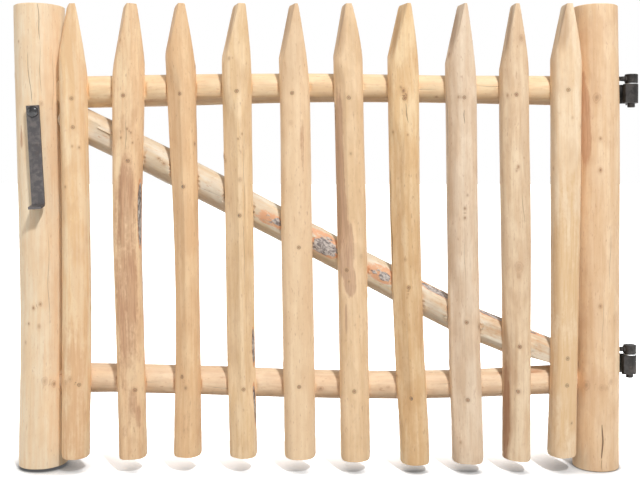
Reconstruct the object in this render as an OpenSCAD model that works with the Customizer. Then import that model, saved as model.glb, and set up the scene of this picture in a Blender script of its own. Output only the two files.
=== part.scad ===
// Hinged garden gate leaf of peeled round poles with ten pointed half-round pickets.
// Millimetres. +Z up, X along the gate's width, the pickets face -Y.
// The origin lies on the lower hinge bracket's outer face, midway between its two screw holes.

/* [Leaf] */
// length of the latch-side stile
stile_h = 751;  // [500:1:1200]
// distance between the stiles' axes
stile_spacing = 915;  // [600:1:1200]
// diameter of the latch-side stile
latch_stile_d = 78.5;  // [60:0.5:110]
// diameter of the hinge-side stile
hinge_stile_d = 72.5;  // [60:0.5:110]
// how much lower the hinge-side stile's foot reaches than the latch-side one
hinge_stile_foot = 4.5;  // [0:0.5:15]
// height of the lower hinge bracket's middle above the latch-side stile's foot
hinge_rise = 163.5;  // [100:0.5:250]

/* [Rails and brace] */
// diameter of the top rail
top_rail_d = 49;  // [35:0.5:65]
// diameter of the bottom rail
bottom_rail_d = 48.5;  // [35:0.5:65]
// height of the top rail's axis below the stiles' tops
top_rail_drop = 135;  // [80:0.5:250]
// height of the bottom rail's axis above the stiles' feet
bottom_rail_rise = 134;  // [80:0.5:250]
// diameter of the diagonal brace
brace_d = 51.5;  // [35:0.5:65]
// diameter of the rails' round tenons
tenon_d = 28;  // [16:0.5:34]
// length of the rails' round tenons
tenon_l = 22;  // [10:0.5:30]
// depth that a whole rail end goes into its stile
socket_depth = 9;  // [6:0.5:14]
// depth of the flats where the brace's ends meet the rails
brace_flat = 1.8;  // [1:0.1:4]

/* [Pickets] */
// how much lower the pickets' points end than the stiles' tops
picket_drop = 2.5;  // [0:0.5:60]
// height of the pickets' feet above the stiles' feet
picket_rise = 19.5;  // [5:0.5:80]
// width of a picket across its flat back
picket_w = 49;  // [35:0.5:52]
// thickness of a picket from its flat back to its round front
picket_t = 27;  // [16:0.5:40]
// how far the first picket's edge overlaps the latch-side stile's outline
latch_tuck = 3.25;  // [-20:0.05:4]
// how far the last picket's edge overlaps the hinge-side stile's outline
hinge_tuck = 0.25;  // [-20:0.05:4]
// depth of the flats hewn on the rails for the pickets
seat_depth = 2.75;  // [2:0.05:6]

/* [Hinges] */
// height between the two hinges
hinge_spacing = 445.5;  // [250:0.5:700]
// diameter of the hinge pins
pin_d = 12;  // [8:0.5:16]
// gap round a hinge pin in its eye
pin_gap = 0.06;  // [0.03:0.01:0.1]
// thickness of an eye's wall
eye_wall = 4.5;  // [3:0.1:7]
// height of an eye
eye_h = 14.8;  // [10:0.1:20]
// diameter of an eye bolt's shank
shank_d = 8;  // [6:0.5:10]
// depth of an eye bolt's shank in the stile
shank_depth = 38;  // [25:1:50]
// distance from the pins' axis to the hinge-side stile's face
hinge_reach = 18.75;  // [17:0.05:35]
// height of a bracket
bracket_h = 31;  // [20:0.5:40]
// thickness of a bracket's strap and plate
bracket_t = 5;  // [4.8:0.1:7]
// reach of a bracket's fixing plate behind the pin's axis
flange_l = 45;  // [38:0.5:70]
// thickness of the washer under an eye
washer_t = 1.5;  // [1:0.1:3]
// length of a pin below its bracket
pin_tail = 7;  // [3:0.5:12]
// diameter of a bracket's screw holes
screw_d = 5.5;  // [4:0.1:6.5]
// distance between a bracket's two screw holes
screw_pitch = 18;  // [14:0.5:24]
// distance from a fixing plate's end to its nearer screw hole
screw_edge = 9;  // [7:0.5:12]

/* [Latch] */
// length of the latch bar above its bent tip
bar_l = 162;  // [100:1:200]
// width of the latch bar
bar_w = 20.5;  // [14:0.5:26]
// thickness of the latch bar
bar_t = 4;  // [3:0.1:6]
// reach of the bar's bent tip towards the front
tip_l = 22;  // [12:0.5:35]
// outer radius of the bar's bend
bar_bend = 7;  // [5:0.5:12]
// angle of the bar's bend
bar_turn = 80;  // [60:1:90]
// length of the bar above the latch bolt's axis
bar_head = 10;  // [8:0.5:20]
// lean of the hanging latch bar
bar_lean = 3;  // [0:0.5:8]
// diameter of the latch bolt's shank
bolt_d = 8;  // [6:0.5:10]
// diameter of the latch bolt's domed head
head_d = 16;  // [13:0.5:20]
// height of the latch bolt's domed head
head_h = 4.6;  // [3:0.1:7]
// depth of the latch bolt below the stile's top
bolt_drop = 174.7;  // [80:0.1:300]
// length of the spacer between the stile and the latch bar
spacer_l = 6.5;  // [5:0.5:12]
// width of the latch bolt's nut across its flats
nut_w = 13;  // [10:0.5:17]
// thickness of the nut with its washer
nut_h = 8;  // [5:0.5:12]

/* [Hidden] */
$fn = 48;
slip = 0.2;          // play at a face that turns on another
nest = 0.15;         // play round a fixed shank or tenon
fit = 0.5;           // play round a pole's end against a stile
swing_gap = 2;       // least distance between a bracket and the stile that swings past it
cut = 60;            // size of the plain cutting blocks
oval = 0.012;        // how far a pole is out of round, as a share of its radius
lobes = 0.008;
round_room = 1.02;   // room for an out-of-round pole, as a share of its diameter
bolt_side = 1.5;     // latch bolt's distance from the stile's straight axis
front_seat = 1;      // depth of the flat seats for the latch bolt's spacer and nut in the stile
back_seat = 3;
seat_rim = 4;        // extra diameter of the nut's washer over the bolt's head
nut_washer_t = 1.6;
bolt_end = 1.4;      // length of the bolt behind its nut
pin_bevel = 1.2;
brace_in = [15, 26];   // depth of the brace's axis ends in the stiles, before they are hollowed
brace_drop = [4, 12];  // depth of the axis ends below the rails' flats
steps = 13;          // stretches between a pole's rings
pole_sides = 26;
front_sides = 15;

// The poles are natural: each list gives a pole's change at even stations from its foot, or
// from its latch-side end, and a smooth curve runs through them.
latch_stile_bow = [0.3, 3.3, 3, 0, -2.5];
latch_stile_swell = [-1, -3.5, -1, -0.5, 2];
hinge_stile_bow = [-0.6, 0.3, -0.8, -1.6, -4.8];
hinge_stile_swell = [1.2, 0, -0.8, -0.4, -2.8];
top_rail_bow = [-4.6, -0.8, 2.6, 0.5, -2.4];
top_rail_swell = [4, 3, -1.6, -3.2, 0];
bottom_rail_bow = [8, 2.2, -4, -4.2, 5];
bottom_rail_swell = [-0.5, 2, -1, -1.6, 0];
brace_bow = [0, -1, -5, -11, -13.5, 13.5];
brace_swell = [-2, 2.4, -1.4, 1, -3];

// pickets
picket_bow = [
    [0.5, 3, 3, 0, -1.5], [5.5, 2, -2.5, -0.5, 1.5], [6, 7, 4.5, -1, -6], [8.5, 4.5, 2.5, -0.5, -2],
    [12.5, 10, 7, 5, 0.5], [14.5, 11.5, 8.5, 4, 0.5], [23, 13.5, 7, 4, 2], [21, 15, 11.5, 9, 6],
    [11, 10.5, 9, 5.5, 4.5], [-3, 0.5, 1.5, 1.5, 1]];
picket_swell = [
    [-5, -2.5, -4.5, -5, -3.5], [-4.5, -4, -3, 1.5, 2], [-3.5, -9, -9, -3.5, 2], [-4.5, -3, -3.5, -2.5, 0],
    [2, 2.5, 1.5, 0, -1], [-1, -1, -1, -2, -1], [-1.5, -1, -0.5, 1, 1.5], [1.5, 2.5, 1, 1, 1],
    [-5.5, -4.5, -2, -2.5, -3], [-3.5, -5.5, -2.5, 0, 1.5]];

// how much lower each picket's foot reaches than picket_rise
picket_foot = [0, 0.5, -2.5, -1.5, 0.5, 4, 10, 8, 3, -2.5];

// picket points: left edge and slope, right edge and slope, turn of the two sloping cuts
picket_points = [
    [-11.5, 9.5, 6, 11, 24], [-8, 9.5, 17, 9.5, 22], [-13.5, 11, 4.5, 11.5, 20],
    [-7.5, 11.5, 13, 8, 23], [-5, 10.5, 8.5, 10.5, 22], [-8, 9.5, 6, 14.5, 14],
    [-4.5, 11.5, 9.5, 11, 22], [2, 11.5, 12.5, 9.5, 16], [0, 10, 9, 9.5, 7],
    [-6, 11.5, 5, 12, 5]];

// picket fronts: sideways shift of the ridge, squareness of the front
picket_fronts = [
    [1, 0.86], [-2, 0.84], [0, 0.9], [3, 0.8], [1, 0.88],
    [-1, 0.84], [2, 0.88], [0, 0.86], [5, 0.8], [-1, 0.86]];

wood = [0.9, 0.76, 0.57];
steel = [0.2, 0.2, 0.21];
zinc = [0.75, 0.76, 0.77];

// value at share f of a smooth curve through a list's evenly spaced values
function along(v, f) =
    let (n = len(v) - 1,
        g = min(1, max(0, f)) * n,
        i = min(n - 1, floor(g)),
        t = g - i,
        a = v[max(0, i - 1)],
        b = v[i],
        c = v[i + 1],
        d = v[min(n, i + 2)])
    b + t * ((c - a) / 2 + t * ((2 * a - 5 * b + 4 * c - d) / 2 + t * (3 * b - a - 3 * c + d) / 2));

// heights
foot_z = -hinge_rise;
hinge_foot_z = foot_z - hinge_stile_foot;
top_z = foot_z + stile_h;
picket_z = foot_z + picket_rise;
picket_h = stile_h - picket_rise - picket_drop;
eye_z = bracket_h / 2 + washer_t + slip + eye_h / 2;
bolt_z = top_z - bolt_drop;

// places along the width
bend_r = pin_d / 2 + bracket_t;
pin_x = -bend_r;
hinge_stile_x = pin_x - hinge_reach - hinge_stile_d / 2;
latch_stile_x = hinge_stile_x - stile_spacing;
picket_x0 = latch_stile_x + (latch_stile_d + picket_w) / 2 - latch_tuck;
picket_x9 = hinge_stile_x - (hinge_stile_d + picket_w) / 2 + hinge_tuck;
bolt_x = latch_stile_x + bolt_side;
shank_x = hinge_stile_x + hinge_stile_d / 2 - shank_depth;
swing_r = hinge_reach - swing_gap;
eye_d = pin_d + 2 * eye_wall;

// the stiles' axes and diameters at height z
function latch_axis(z) = latch_stile_x + along(latch_stile_bow, (z - foot_z) / (top_z - foot_z));
function hinge_axis(z) = hinge_stile_x + along(hinge_stile_bow, (z - hinge_foot_z) / (top_z - hinge_foot_z));
function latch_d(z) = latch_stile_d + along(latch_stile_swell, (z - foot_z) / (top_z - foot_z));
function hinge_d(z) = hinge_stile_d + along(hinge_stile_swell, (z - hinge_foot_z) / (top_z - hinge_foot_z));

// places along the depth
bolt_seat_y = front_seat - latch_d(bolt_z) / 2;
nut_seat_y = latch_d(bolt_z) / 2 - back_seat;
bar_y = bolt_seat_y - spacer_l - slip;
head_y = bar_y - bar_t - slip;
screw_y = flange_l - screw_edge - screw_pitch / 2;
seat_y = min(top_rail_d, bottom_rail_d, brace_d) / 2 - seat_depth;

// the rails' ends, which stand on the floors of the stiles' sockets
top_rail_z = top_z - top_rail_drop;
bottom_rail_z = foot_z + bottom_rail_rise;
function rail_x0(z) = latch_axis(z) + latch_d(z) / 2 - socket_depth;
function rail_x1(z) = hinge_axis(z) - hinge_d(z) / 2 + socket_depth;
function rail_mid(z, bow, x) = z + along(bow, (x - rail_x0(z)) / (rail_x1(z) - rail_x0(z)));

// the brace's axis runs between the flats on the rails
brace_top_z = top_rail_z + top_rail_bow[0] - (top_rail_d + top_rail_swell[0]) / 2 + brace_flat;
brace_foot_z = bottom_rail_z + bottom_rail_bow[4] + (bottom_rail_d + bottom_rail_swell[4]) / 2 - brace_flat;
brace_x0 = latch_stile_x + latch_stile_d / 2 - brace_in[0];
brace_x1 = hinge_stile_x - hinge_stile_d / 2 + brace_in[1];
brace_z0 = brace_top_z - brace_drop[0];
brace_z1 = brace_foot_z - brace_drop[1];
brace_slope = (brace_z1 - brace_z0) / (brace_x1 - brace_x0);
function brace_mid(x) = brace_z0 + brace_slope * (x - brace_x0)
    + along(brace_bow, (x - brace_x0) / (brace_x1 - brace_x0));

// foot and middle of picket i at height z, and its half width there
function picket_z0(i) = picket_z - picket_foot[i];
function picket_x(i) = picket_x0 + i * (picket_x9 - picket_x0) / 9;
function picket_f(z) = (z - picket_z) / picket_h;
function picket_mid(i, z) = picket_x(i) + along(picket_bow[i], picket_f(z));
function picket_half(i, z) = (picket_w + along(picket_swell[i], picket_f(z))) / 2;

// radius at angle a and share f of pole k, a little out of round
function pole_r(d, swell, a, f, k) =
    (d + along(swell, f)) / 2 * (1 + oval * sin(2 * a + 40 * k) + lobes * sin(3 * a + 630 * f + 90 * k));

// moves a piece drawn with the hinge pins' axis at Y = 0 to the frame's origin
module from_pin() {
    translate([0, -screw_y, 0])
        children();
}

// closed solid through rings that have as many points each
module skin(rings) {
    m = len(rings[0]);
    n = len(rings) - 1;
    polyhedron(
        points = [for (r = rings) for (p = r) p],
        faces = concat(
            [[for (j = [0:m - 1]) j]],
            [[for (j = [m - 1:-1:0]) n * m + j]],
            [for (i = [0:n - 1]) for (j = [0:m - 1])
                [i * m + j, (i + 1) * m + (j + 1) % m, i * m + (j + 1) % m]],
            [for (i = [0:n - 1]) for (j = [0:m - 1])
                [i * m + j, (i + 1) * m + j, (i + 1) * m + (j + 1) % m]]),
        convexity = 6);
}

// upright pole from height z0 up to the stiles' tops
module upright_pole(x, z0, d, bow, swell, k) {
    skin([for (s = [0:steps])
        let (f = s / steps)
        [for (j = [0:pole_sides - 1])
            let (a = 360 * j / pole_sides, r = pole_r(d, swell, a, f, k))
            [x + along(bow, f) + r * cos(a), r * sin(a), z0 + f * (top_z - z0)]]]);
}

// pole from x0 to x1 whose axis falls by slope
module leaning_pole(x0, x1, z, slope, d, bow, swell, k) {
    lean = atan(slope);
    skin([for (s = [0:steps])
        let (f = s / steps, x = x0 + f * (x1 - x0))
        [for (j = [0:pole_sides - 1])
            let (a = 360 * j / pole_sides, r = pole_r(d, swell, a, f, k))
            [x - r * sin(a) * sin(lean), r * cos(a),
                z + slope * (x - x0) + along(bow, f) + r * sin(a) * cos(lean)]]]);
}

// flats hewn for the pickets on the front of a pole that lies at the given heights behind them
module picket_seats(heights) {
    for (i = [0:9]) {
        w = picket_half(i, heights[i]) + 1.5;
        translate([picket_mid(i, heights[i]) - w, -seat_y - cut, heights[i] - cut])
            cube([2 * w, cut, 2 * cut]);
    }
}

// rail with a round tenon at each end
module rail(z, d, bow, swell, k) {
    x0 = rail_x0(z);
    x1 = rail_x1(z);
    difference() {
        union() {
            leaning_pole(x0, x1, z, 0, d, bow, swell, k);
            translate([x0 - tenon_l, 0, z + bow[0]])
                rotate([0, 90, 0])
                    cylinder(d = tenon_d, h = tenon_l + socket_depth);
            translate([x1 - socket_depth, 0, z + bow[4]])
                rotate([0, 90, 0])
                    cylinder(d = tenon_d, h = tenon_l + socket_depth);
        }
        picket_seats([for (i = [0:9]) rail_mid(z, bow, picket_mid(i, z))]);
    }
}

// socket for a rail's end of diameter d and its tenon, opening towards +X (side 1) or -X (side -1)
module rail_socket(x, z, d, side) {
    translate([x, 0, z])
        rotate([0, side * 90, 0]) {
            cylinder(d = round_room * d + 2 * fit, h = cut);
            translate([0, 0, -tenon_l - 1])
                cylinder(d = tenon_d + 2 * nest, h = tenon_l + 2);
        }
}

module latch_stile() {
    color(wood) from_pin()
        difference() {
            upright_pole(latch_stile_x, foot_z, latch_stile_d, latch_stile_bow, latch_stile_swell, 1);
            rail_socket(rail_x0(top_rail_z), top_rail_z + top_rail_bow[0],
                top_rail_d + top_rail_swell[0], 1);
            rail_socket(rail_x0(bottom_rail_z), bottom_rail_z + bottom_rail_bow[0],
                bottom_rail_d + bottom_rail_swell[0], 1);
            translate([bolt_x, cut, bolt_z])
                rotate([90, 0, 0])
                    cylinder(d = bolt_d + 2 * nest, h = 2 * cut);
            translate([bolt_x, bolt_seat_y, bolt_z])
                rotate([90, 0, 0])
                    cylinder(d = head_d + seat_rim, h = cut);
            translate([bolt_x, nut_seat_y, bolt_z])
                rotate([-90, 0, 0])
                    cylinder(d = head_d + seat_rim + 2, h = cut);
        }
}

module hinge_stile() {
    color(wood) from_pin()
        difference() {
            upright_pole(hinge_stile_x, hinge_foot_z, hinge_stile_d, hinge_stile_bow, hinge_stile_swell, 2);
            rail_socket(rail_x1(top_rail_z), top_rail_z + top_rail_bow[4],
                top_rail_d + top_rail_swell[4], -1);
            rail_socket(rail_x1(bottom_rail_z), bottom_rail_z + bottom_rail_bow[4],
                bottom_rail_d + bottom_rail_swell[4], -1);
            for (z = [eye_z, eye_z + hinge_spacing])
                translate([shank_x - 1, 0, z])
                    rotate([0, 90, 0])
                        cylinder(d = shank_d + 2 * nest, h = shank_depth + cut);
        }
}

// rail with a flat on its underside for the brace's upper end
module top_rail() {
    color(wood) from_pin()
        difference() {
            rail(top_rail_z, top_rail_d, top_rail_bow, top_rail_swell, 3);
            translate([latch_stile_x, -cut, brace_top_z - cut])
                cube([latch_stile_d, 2 * cut, cut]);
        }
}

// rail with a flat on its top for the brace's lower end
module bottom_rail() {
    color(wood) from_pin()
        difference() {
            rail(bottom_rail_z, bottom_rail_d, bottom_rail_bow, bottom_rail_swell, 4);
            translate([hinge_stile_x - 2 * hinge_stile_d, -cut, brace_foot_z])
                cube([2 * hinge_stile_d, 2 * cut, cut]);
        }
}

// hollow in the brace's end that follows a stile
module brace_cope(x, d) {
    translate([x, 0, foot_z])
        cylinder(d = round_room * d + fit, h = stile_h);
}

module diagonal_brace() {
    color(wood) from_pin()
        difference() {
            leaning_pole(brace_x0, brace_x1, brace_z0, brace_slope, brace_d, brace_bow, brace_swell, 5);
            picket_seats([for (i = [0:9]) brace_mid(picket_mid(i, brace_mid(picket_x(i))))]);
            translate([brace_x0 - cut, -cut, brace_top_z])
                cube([4 * cut, 2 * cut, 2 * cut]);
            translate([brace_x1 - 3 * cut, -cut, brace_foot_z - 2 * cut])
                cube([4 * cut, 2 * cut, 2 * cut]);
            brace_cope(latch_axis(brace_top_z), latch_d(brace_top_z));
            brace_cope(hinge_axis(brace_foot_z), hinge_d(brace_foot_z));
        }
}

// outline of picket i's section at share f: a flat back and a round front towards -Y
function picket_ring(i, f) =
    let (z = picket_z0(i) + f * (picket_h + picket_foot[i]),
        x = picket_mid(i, z),
        half = picket_half(i, z),
        t = picket_t + 0.8 * sin(200 * f + 100 * i),
        ridge = picket_fronts[i][0],
        square = picket_fronts[i][1])
    [for (j = [0:front_sides])
        let (a = 180 * j / front_sides,
            c = cos(a),
            s = sin(a),
            b = 1 + 0.05 * s * sin(2 * a + 75 * i + 130 * f) + 0.03 * s * sin(5 * a + 130 * i + 210 * f))
        [x - half * sign(c) * pow(abs(c), square) + ridge * s * s, -seat_y - t * b * pow(s, square), z]];

// block beside a point's sloping cut: side 1 lies on the left, side -1 on the right
module point_cut(x, y, slope, turn, side) {
    translate([x, y, picket_z + picket_h])
        rotate([0, 0, turn])
            rotate([0, side * slope, 0])
                translate([side > 0 ? -cut : 0, -cut, -3 * cut])
                    cube([cut, 2 * cut, 4 * cut]);
}

// half-round picket with a point of two sloping cuts
module picket(i) {
    p = picket_points[i];
    color(wood) from_pin()
        difference() {
            skin([for (s = [0:steps]) picket_ring(i, s / steps)]);
            point_cut(picket_x(i) + p[0], -seat_y, p[1], p[4], 1);
            point_cut(picket_x(i) + p[2], -seat_y - 0.7 * picket_t, p[3], p[4], -1);
        }
}

// eye on a plain shank that goes into the stile
module eye_bolt(z) {
    color(steel) from_pin()
        difference() {
            union() {
                translate([pin_x, 0, z - eye_h / 2])
                    cylinder(d = eye_d, h = eye_h);
                translate([shank_x, 0, z])
                    rotate([0, 90, 0])
                        cylinder(d = shank_d, h = pin_x - shank_x - pin_d / 2);
            }
            translate([pin_x, 0, z - eye_h])
                cylinder(d = pin_d + 2 * pin_gap, h = 2 * eye_h);
        }
}

module washer(z) {
    color(zinc) from_pin()
        translate([pin_x, 0, z + bracket_h / 2])
            difference() {
                cylinder(d = eye_d, h = washer_t);
                translate([0, 0, -1])
                    cylinder(d = pin_d + 2 * nest, h = washer_t + 2);
            }
}

// pin with a bevelled lower end, level with its eye's top
module pintle_pin(z) {
    h = pin_tail + bracket_h + washer_t + slip + eye_h;
    color(steel) from_pin()
        translate([pin_x, 0, z - bracket_h / 2 - pin_tail]) {
            cylinder(d1 = pin_d - 2 * pin_bevel, d2 = pin_d, h = pin_bevel);
            translate([0, 0, pin_bevel])
                cylinder(d = pin_d, h = h - pin_bevel);
        }
}

// strap folded round the pin and welded to a fixing plate with two screw holes; its front leg is
// short, so that the stile swings past it
module pintle_bracket(z) {
    color(steel) from_pin()
        translate([pin_x, 0, z - bracket_h / 2])
            difference() {
                union() {
                    cylinder(r = bend_r, h = bracket_h);
                    intersection() {
                        cylinder(r = swing_r, h = bracket_h);
                        translate([-cut, -bend_r, 0])
                            cube([cut, bracket_t, bracket_h]);
                    }
                    translate([-swing_r, bend_r - bracket_t, 0])
                        cube([swing_r, bracket_t, bracket_h]);
                    translate([bend_r - bracket_t, 0, 0])
                        cube([bracket_t, flange_l, bracket_h]);
                }
                translate([-cut, bracket_t - bend_r, -1])
                    cube([cut, 2 * (bend_r - bracket_t), bracket_h + 2]);
                translate([0, 0, -1])
                    cylinder(d = pin_d, h = bracket_h + 2);
                for (y = [screw_y - screw_pitch / 2, screw_y + screw_pitch / 2])
                    translate([0, y, bracket_h / 2])
                        rotate([0, 90, 0])
                            cylinder(d = screw_d, h = cut);
            }
}

// shank through the stile with a domed head in front of the bar
module latch_bolt() {
    dome_r = (head_d * head_d / 4 + head_h * head_h) / (2 * head_h);
    tail = nut_seat_y + nut_h + bolt_end;
    color(steel) from_pin()
        translate([bolt_x, head_y, bolt_z])
            rotate([90, 0, 0]) {
                translate([0, 0, head_y - tail])
                    cylinder(d = bolt_d, h = tail - head_y);
                intersection() {
                    cylinder(d = head_d, h = head_h + 1);
                    translate([0, 0, head_h - dome_r])
                        sphere(r = dome_r);
                }
            }
}

module latch_spacer() {
    color(steel) from_pin()
        translate([bolt_x, bolt_seat_y, bolt_z])
            rotate([90, 0, 0])
                difference() {
                    cylinder(d = head_d - 1, h = spacer_l);
                    translate([0, 0, -1])
                        cylinder(d = bolt_d + 2 * nest, h = spacer_l + 2);
                }
}

// washer and hexagon nut on the bolt's end behind the stile
module latch_nut() {
    color(steel) from_pin()
        translate([bolt_x, nut_seat_y, bolt_z])
            rotate([-90, 0, 0])
                difference() {
                    union() {
                        cylinder(d = head_d + seat_rim, h = nut_washer_t);
                        cylinder(d = nut_w / cos(30), h = nut_h, $fn = 6);
                    }
                    translate([0, 0, -1])
                        cylinder(d = bolt_d + slip, h = nut_h + 2);
                }
}

// hanging bar with its lower end bent to the front
module latch_bar() {
    low = bar_head + bar_bend - bar_l;
    inner_r = bar_bend - bar_t;
    arc = [for (k = [0:8]) -bar_turn * k / 8];
    outer = [for (a = arc) [bar_bend * cos(a) - bar_bend, low + bar_bend * sin(a)]];
    inner = [for (k = [8:-1:0]) [inner_r * cos(arc[k]) - bar_bend, low + inner_r * sin(arc[k])]];
    reach = (tip_l - bar_bend + bar_bend * cos(bar_turn)) / sin(bar_turn);
    tip = reach * [-sin(bar_turn), -cos(bar_turn)];
    color(steel) from_pin()
        translate([bolt_x, bar_y, bolt_z])
            rotate([0, -bar_lean, 0])
                difference() {
                    translate([-bar_w / 2, 0, 0])
                        rotate([90, 0, 90])
                            linear_extrude(height = bar_w)
                                polygon(concat([[0, bar_head]], outer, [outer[8] + tip, inner[0] + tip],
                                    inner, [[-bar_t, bar_head]]));
                    translate([0, 1, 0])
                        rotate([90, 0, 0])
                            cylinder(d = bolt_d + 2 * pin_gap, h = bar_t + 2);
                }
}

latch_stile();
hinge_stile();
top_rail();
bottom_rail();
diagonal_brace();
picket(0);  // picket_1
picket(1);  // picket_2
picket(2);  // picket_3
picket(3);  // picket_4
picket(4);  // picket_5
picket(5);  // picket_6
picket(6);  // picket_7
picket(7);  // picket_8
picket(8);  // picket_9
picket(9);  // picket_10
eye_bolt(eye_z + hinge_spacing);  // upper_eye_bolt
eye_bolt(eye_z);  // lower_eye_bolt
washer(hinge_spacing);  // upper_washer
washer(0);  // lower_washer
pintle_pin(hinge_spacing);  // upper_pintle_pin
pintle_pin(0);  // lower_pintle_pin
pintle_bracket(hinge_spacing);  // upper_pintle_bracket
pintle_bracket(0);  // lower_pintle_bracket
latch_bolt();
latch_spacer();
latch_nut();
latch_bar();
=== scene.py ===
import math

import bmesh
import bpy
import numpy as np
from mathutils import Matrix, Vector
from mathutils.bvhtree import BVHTree


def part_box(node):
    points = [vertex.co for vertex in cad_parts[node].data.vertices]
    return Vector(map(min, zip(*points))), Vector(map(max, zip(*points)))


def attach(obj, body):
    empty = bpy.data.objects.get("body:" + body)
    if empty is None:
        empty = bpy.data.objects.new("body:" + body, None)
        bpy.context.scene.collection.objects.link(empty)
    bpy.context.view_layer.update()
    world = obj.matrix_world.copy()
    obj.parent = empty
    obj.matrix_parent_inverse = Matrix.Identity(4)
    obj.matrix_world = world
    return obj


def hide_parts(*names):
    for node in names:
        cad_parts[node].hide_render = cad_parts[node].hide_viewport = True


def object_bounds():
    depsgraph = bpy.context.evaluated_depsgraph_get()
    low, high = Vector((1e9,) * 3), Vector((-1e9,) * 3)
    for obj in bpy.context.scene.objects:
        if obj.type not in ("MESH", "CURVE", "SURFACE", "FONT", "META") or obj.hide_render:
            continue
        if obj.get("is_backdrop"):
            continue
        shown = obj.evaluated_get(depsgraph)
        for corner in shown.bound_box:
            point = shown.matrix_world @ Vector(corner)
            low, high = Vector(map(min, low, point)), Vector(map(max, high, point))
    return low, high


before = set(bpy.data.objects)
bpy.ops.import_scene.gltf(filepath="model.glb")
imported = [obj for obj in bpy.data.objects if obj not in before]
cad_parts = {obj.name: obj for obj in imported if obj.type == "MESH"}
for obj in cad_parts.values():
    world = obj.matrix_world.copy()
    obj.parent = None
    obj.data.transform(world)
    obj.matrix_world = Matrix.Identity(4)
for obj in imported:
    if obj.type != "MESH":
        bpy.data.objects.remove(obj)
cadLow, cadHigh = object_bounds()
scene = bpy.context.scene
mm = 0.001
print("frame loaded:", len(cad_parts), "nodes")

# camera
cameraView = {"place": (-0.5227, -1.477, 0.3137), "tiltDown": 1.0, "lens": 49.52, "sensor": 36,
              "frameDrop": 0.0807}


def placeCamera(view):
    data = bpy.data.cameras.new("gateCamera")
    data.lens = view["lens"]
    data.sensor_width = view["sensor"]
    data.shift_y = -view["frameDrop"]
    camera = bpy.data.objects.new("gateCamera", data)
    scene.collection.objects.link(camera)
    camera.location = view["place"]
    camera.rotation_euler = (math.radians(90 - view["tiltDown"]), 0, 0)
    scene.camera = camera


placeCamera(cameraView)
scene.view_settings.view_transform = "Standard"
print("camera placed")


# small helpers for node trees
def paint(red, green, blue):
    # a colour given the usual way, 0 to 255, as the shader wants it
    shades = []
    for part in (red, green, blue):
        part = part / 255
        shades.append(part / 12.92 if part <= 0.04045 else ((part + 0.055) / 1.055) ** 2.4)
    return (*shades, 1)


def addNode(tree, kind, inputs=None, **settings):
    made = tree.nodes.new(kind)
    for key, value in settings.items():
        setattr(made, key, value)
    for where, value in (inputs or {}).items():
        if isinstance(value, bpy.types.NodeSocket):
            tree.links.new(value, made.inputs[where])
        else:
            made.inputs[where].default_value = value
    return made


def sums(tree, work, first, second=0.0, third=0.0):
    inputs = {0: first, 1: second, 2: third}
    return addNode(tree, "ShaderNodeMath", inputs, operation=work).outputs[0]


def times(tree, first, second):
    return sums(tree, "MULTIPLY", first, second)


def timesPlus(tree, first, second, third):
    return sums(tree, "MULTIPLY_ADD", first, second, third)


def squareSum(tree, first, second):
    return timesPlus(tree, first, first, times(tree, second, second))


def centred(tree, noise):
    # noise about zero instead of about a half
    return sums(tree, "SUBTRACT", noise, 0.5)


def ease(tree, value, low, high):
    # 0 below low, 1 above high, smooth between; low may be the larger one
    inputs = {"Value": value, "From Min": low, "From Max": high}
    eased = addNode(tree, "ShaderNodeMapRange", inputs, interpolation_type="SMOOTHSTEP")
    return eased.outputs["Result"]


def mixed(tree, share, first, second, way="MIX"):
    inputs = {0: share, 6: first, 7: second}
    return addNode(tree, "ShaderNodeMix", inputs, data_type="RGBA", blend_type=way).outputs[2]


def mixedValue(tree, share, first, second):
    inputs = {0: share, 2: first, 3: second}
    return addNode(tree, "ShaderNodeMix", inputs, data_type="FLOAT").outputs[0]


def split(tree, vector):
    return addNode(tree, "ShaderNodeSeparateXYZ", {0: vector}).outputs


def shifted(tree, place, x, y, z):
    # moves a pattern, so that each piece has its own stretch of it
    shift = addNode(tree, "ShaderNodeCombineXYZ", {0: x, 1: y, 2: z}).outputs[0]
    return addNode(tree, "ShaderNodeVectorMath", {0: place, 1: shift}, operation="ADD").outputs[0]


def grainNoise(tree, place, scale, detail=2.0, rough=0.5):
    # noise that is scaled apart across, through and along the pole
    spread = addNode(tree, "ShaderNodeVectorMath", {0: place, 1: scale}, operation="MULTIPLY")
    inputs = {"Vector": spread.outputs[0], "Scale": 1.0, "Detail": detail, "Roughness": rough}
    return addNode(tree, "ShaderNodeTexNoise", inputs).outputs["Fac"]


def newGroup(name, kind, inputs, outputs):
    tree = bpy.data.node_groups.new(name, kind)
    sockets = {"f": "NodeSocketFloat", "c": "NodeSocketColor", "g": "NodeSocketGeometry",
               "m": "NodeSocketMaterial", "i": "NodeSocketInt", "o": "NodeSocketObject"}
    for label, (letter, value) in inputs.items():
        made = tree.interface.new_socket(name=label, in_out="INPUT", socket_type=sockets[letter])
        if value is not None:
            made.default_value = value
    for label, letter in outputs.items():
        tree.interface.new_socket(name=label, in_out="OUTPUT", socket_type=sockets[letter])
    start = tree.nodes.new("NodeGroupInput")
    end = tree.nodes.new("NodeGroupOutput")
    return tree, start.outputs, end.inputs


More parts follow.
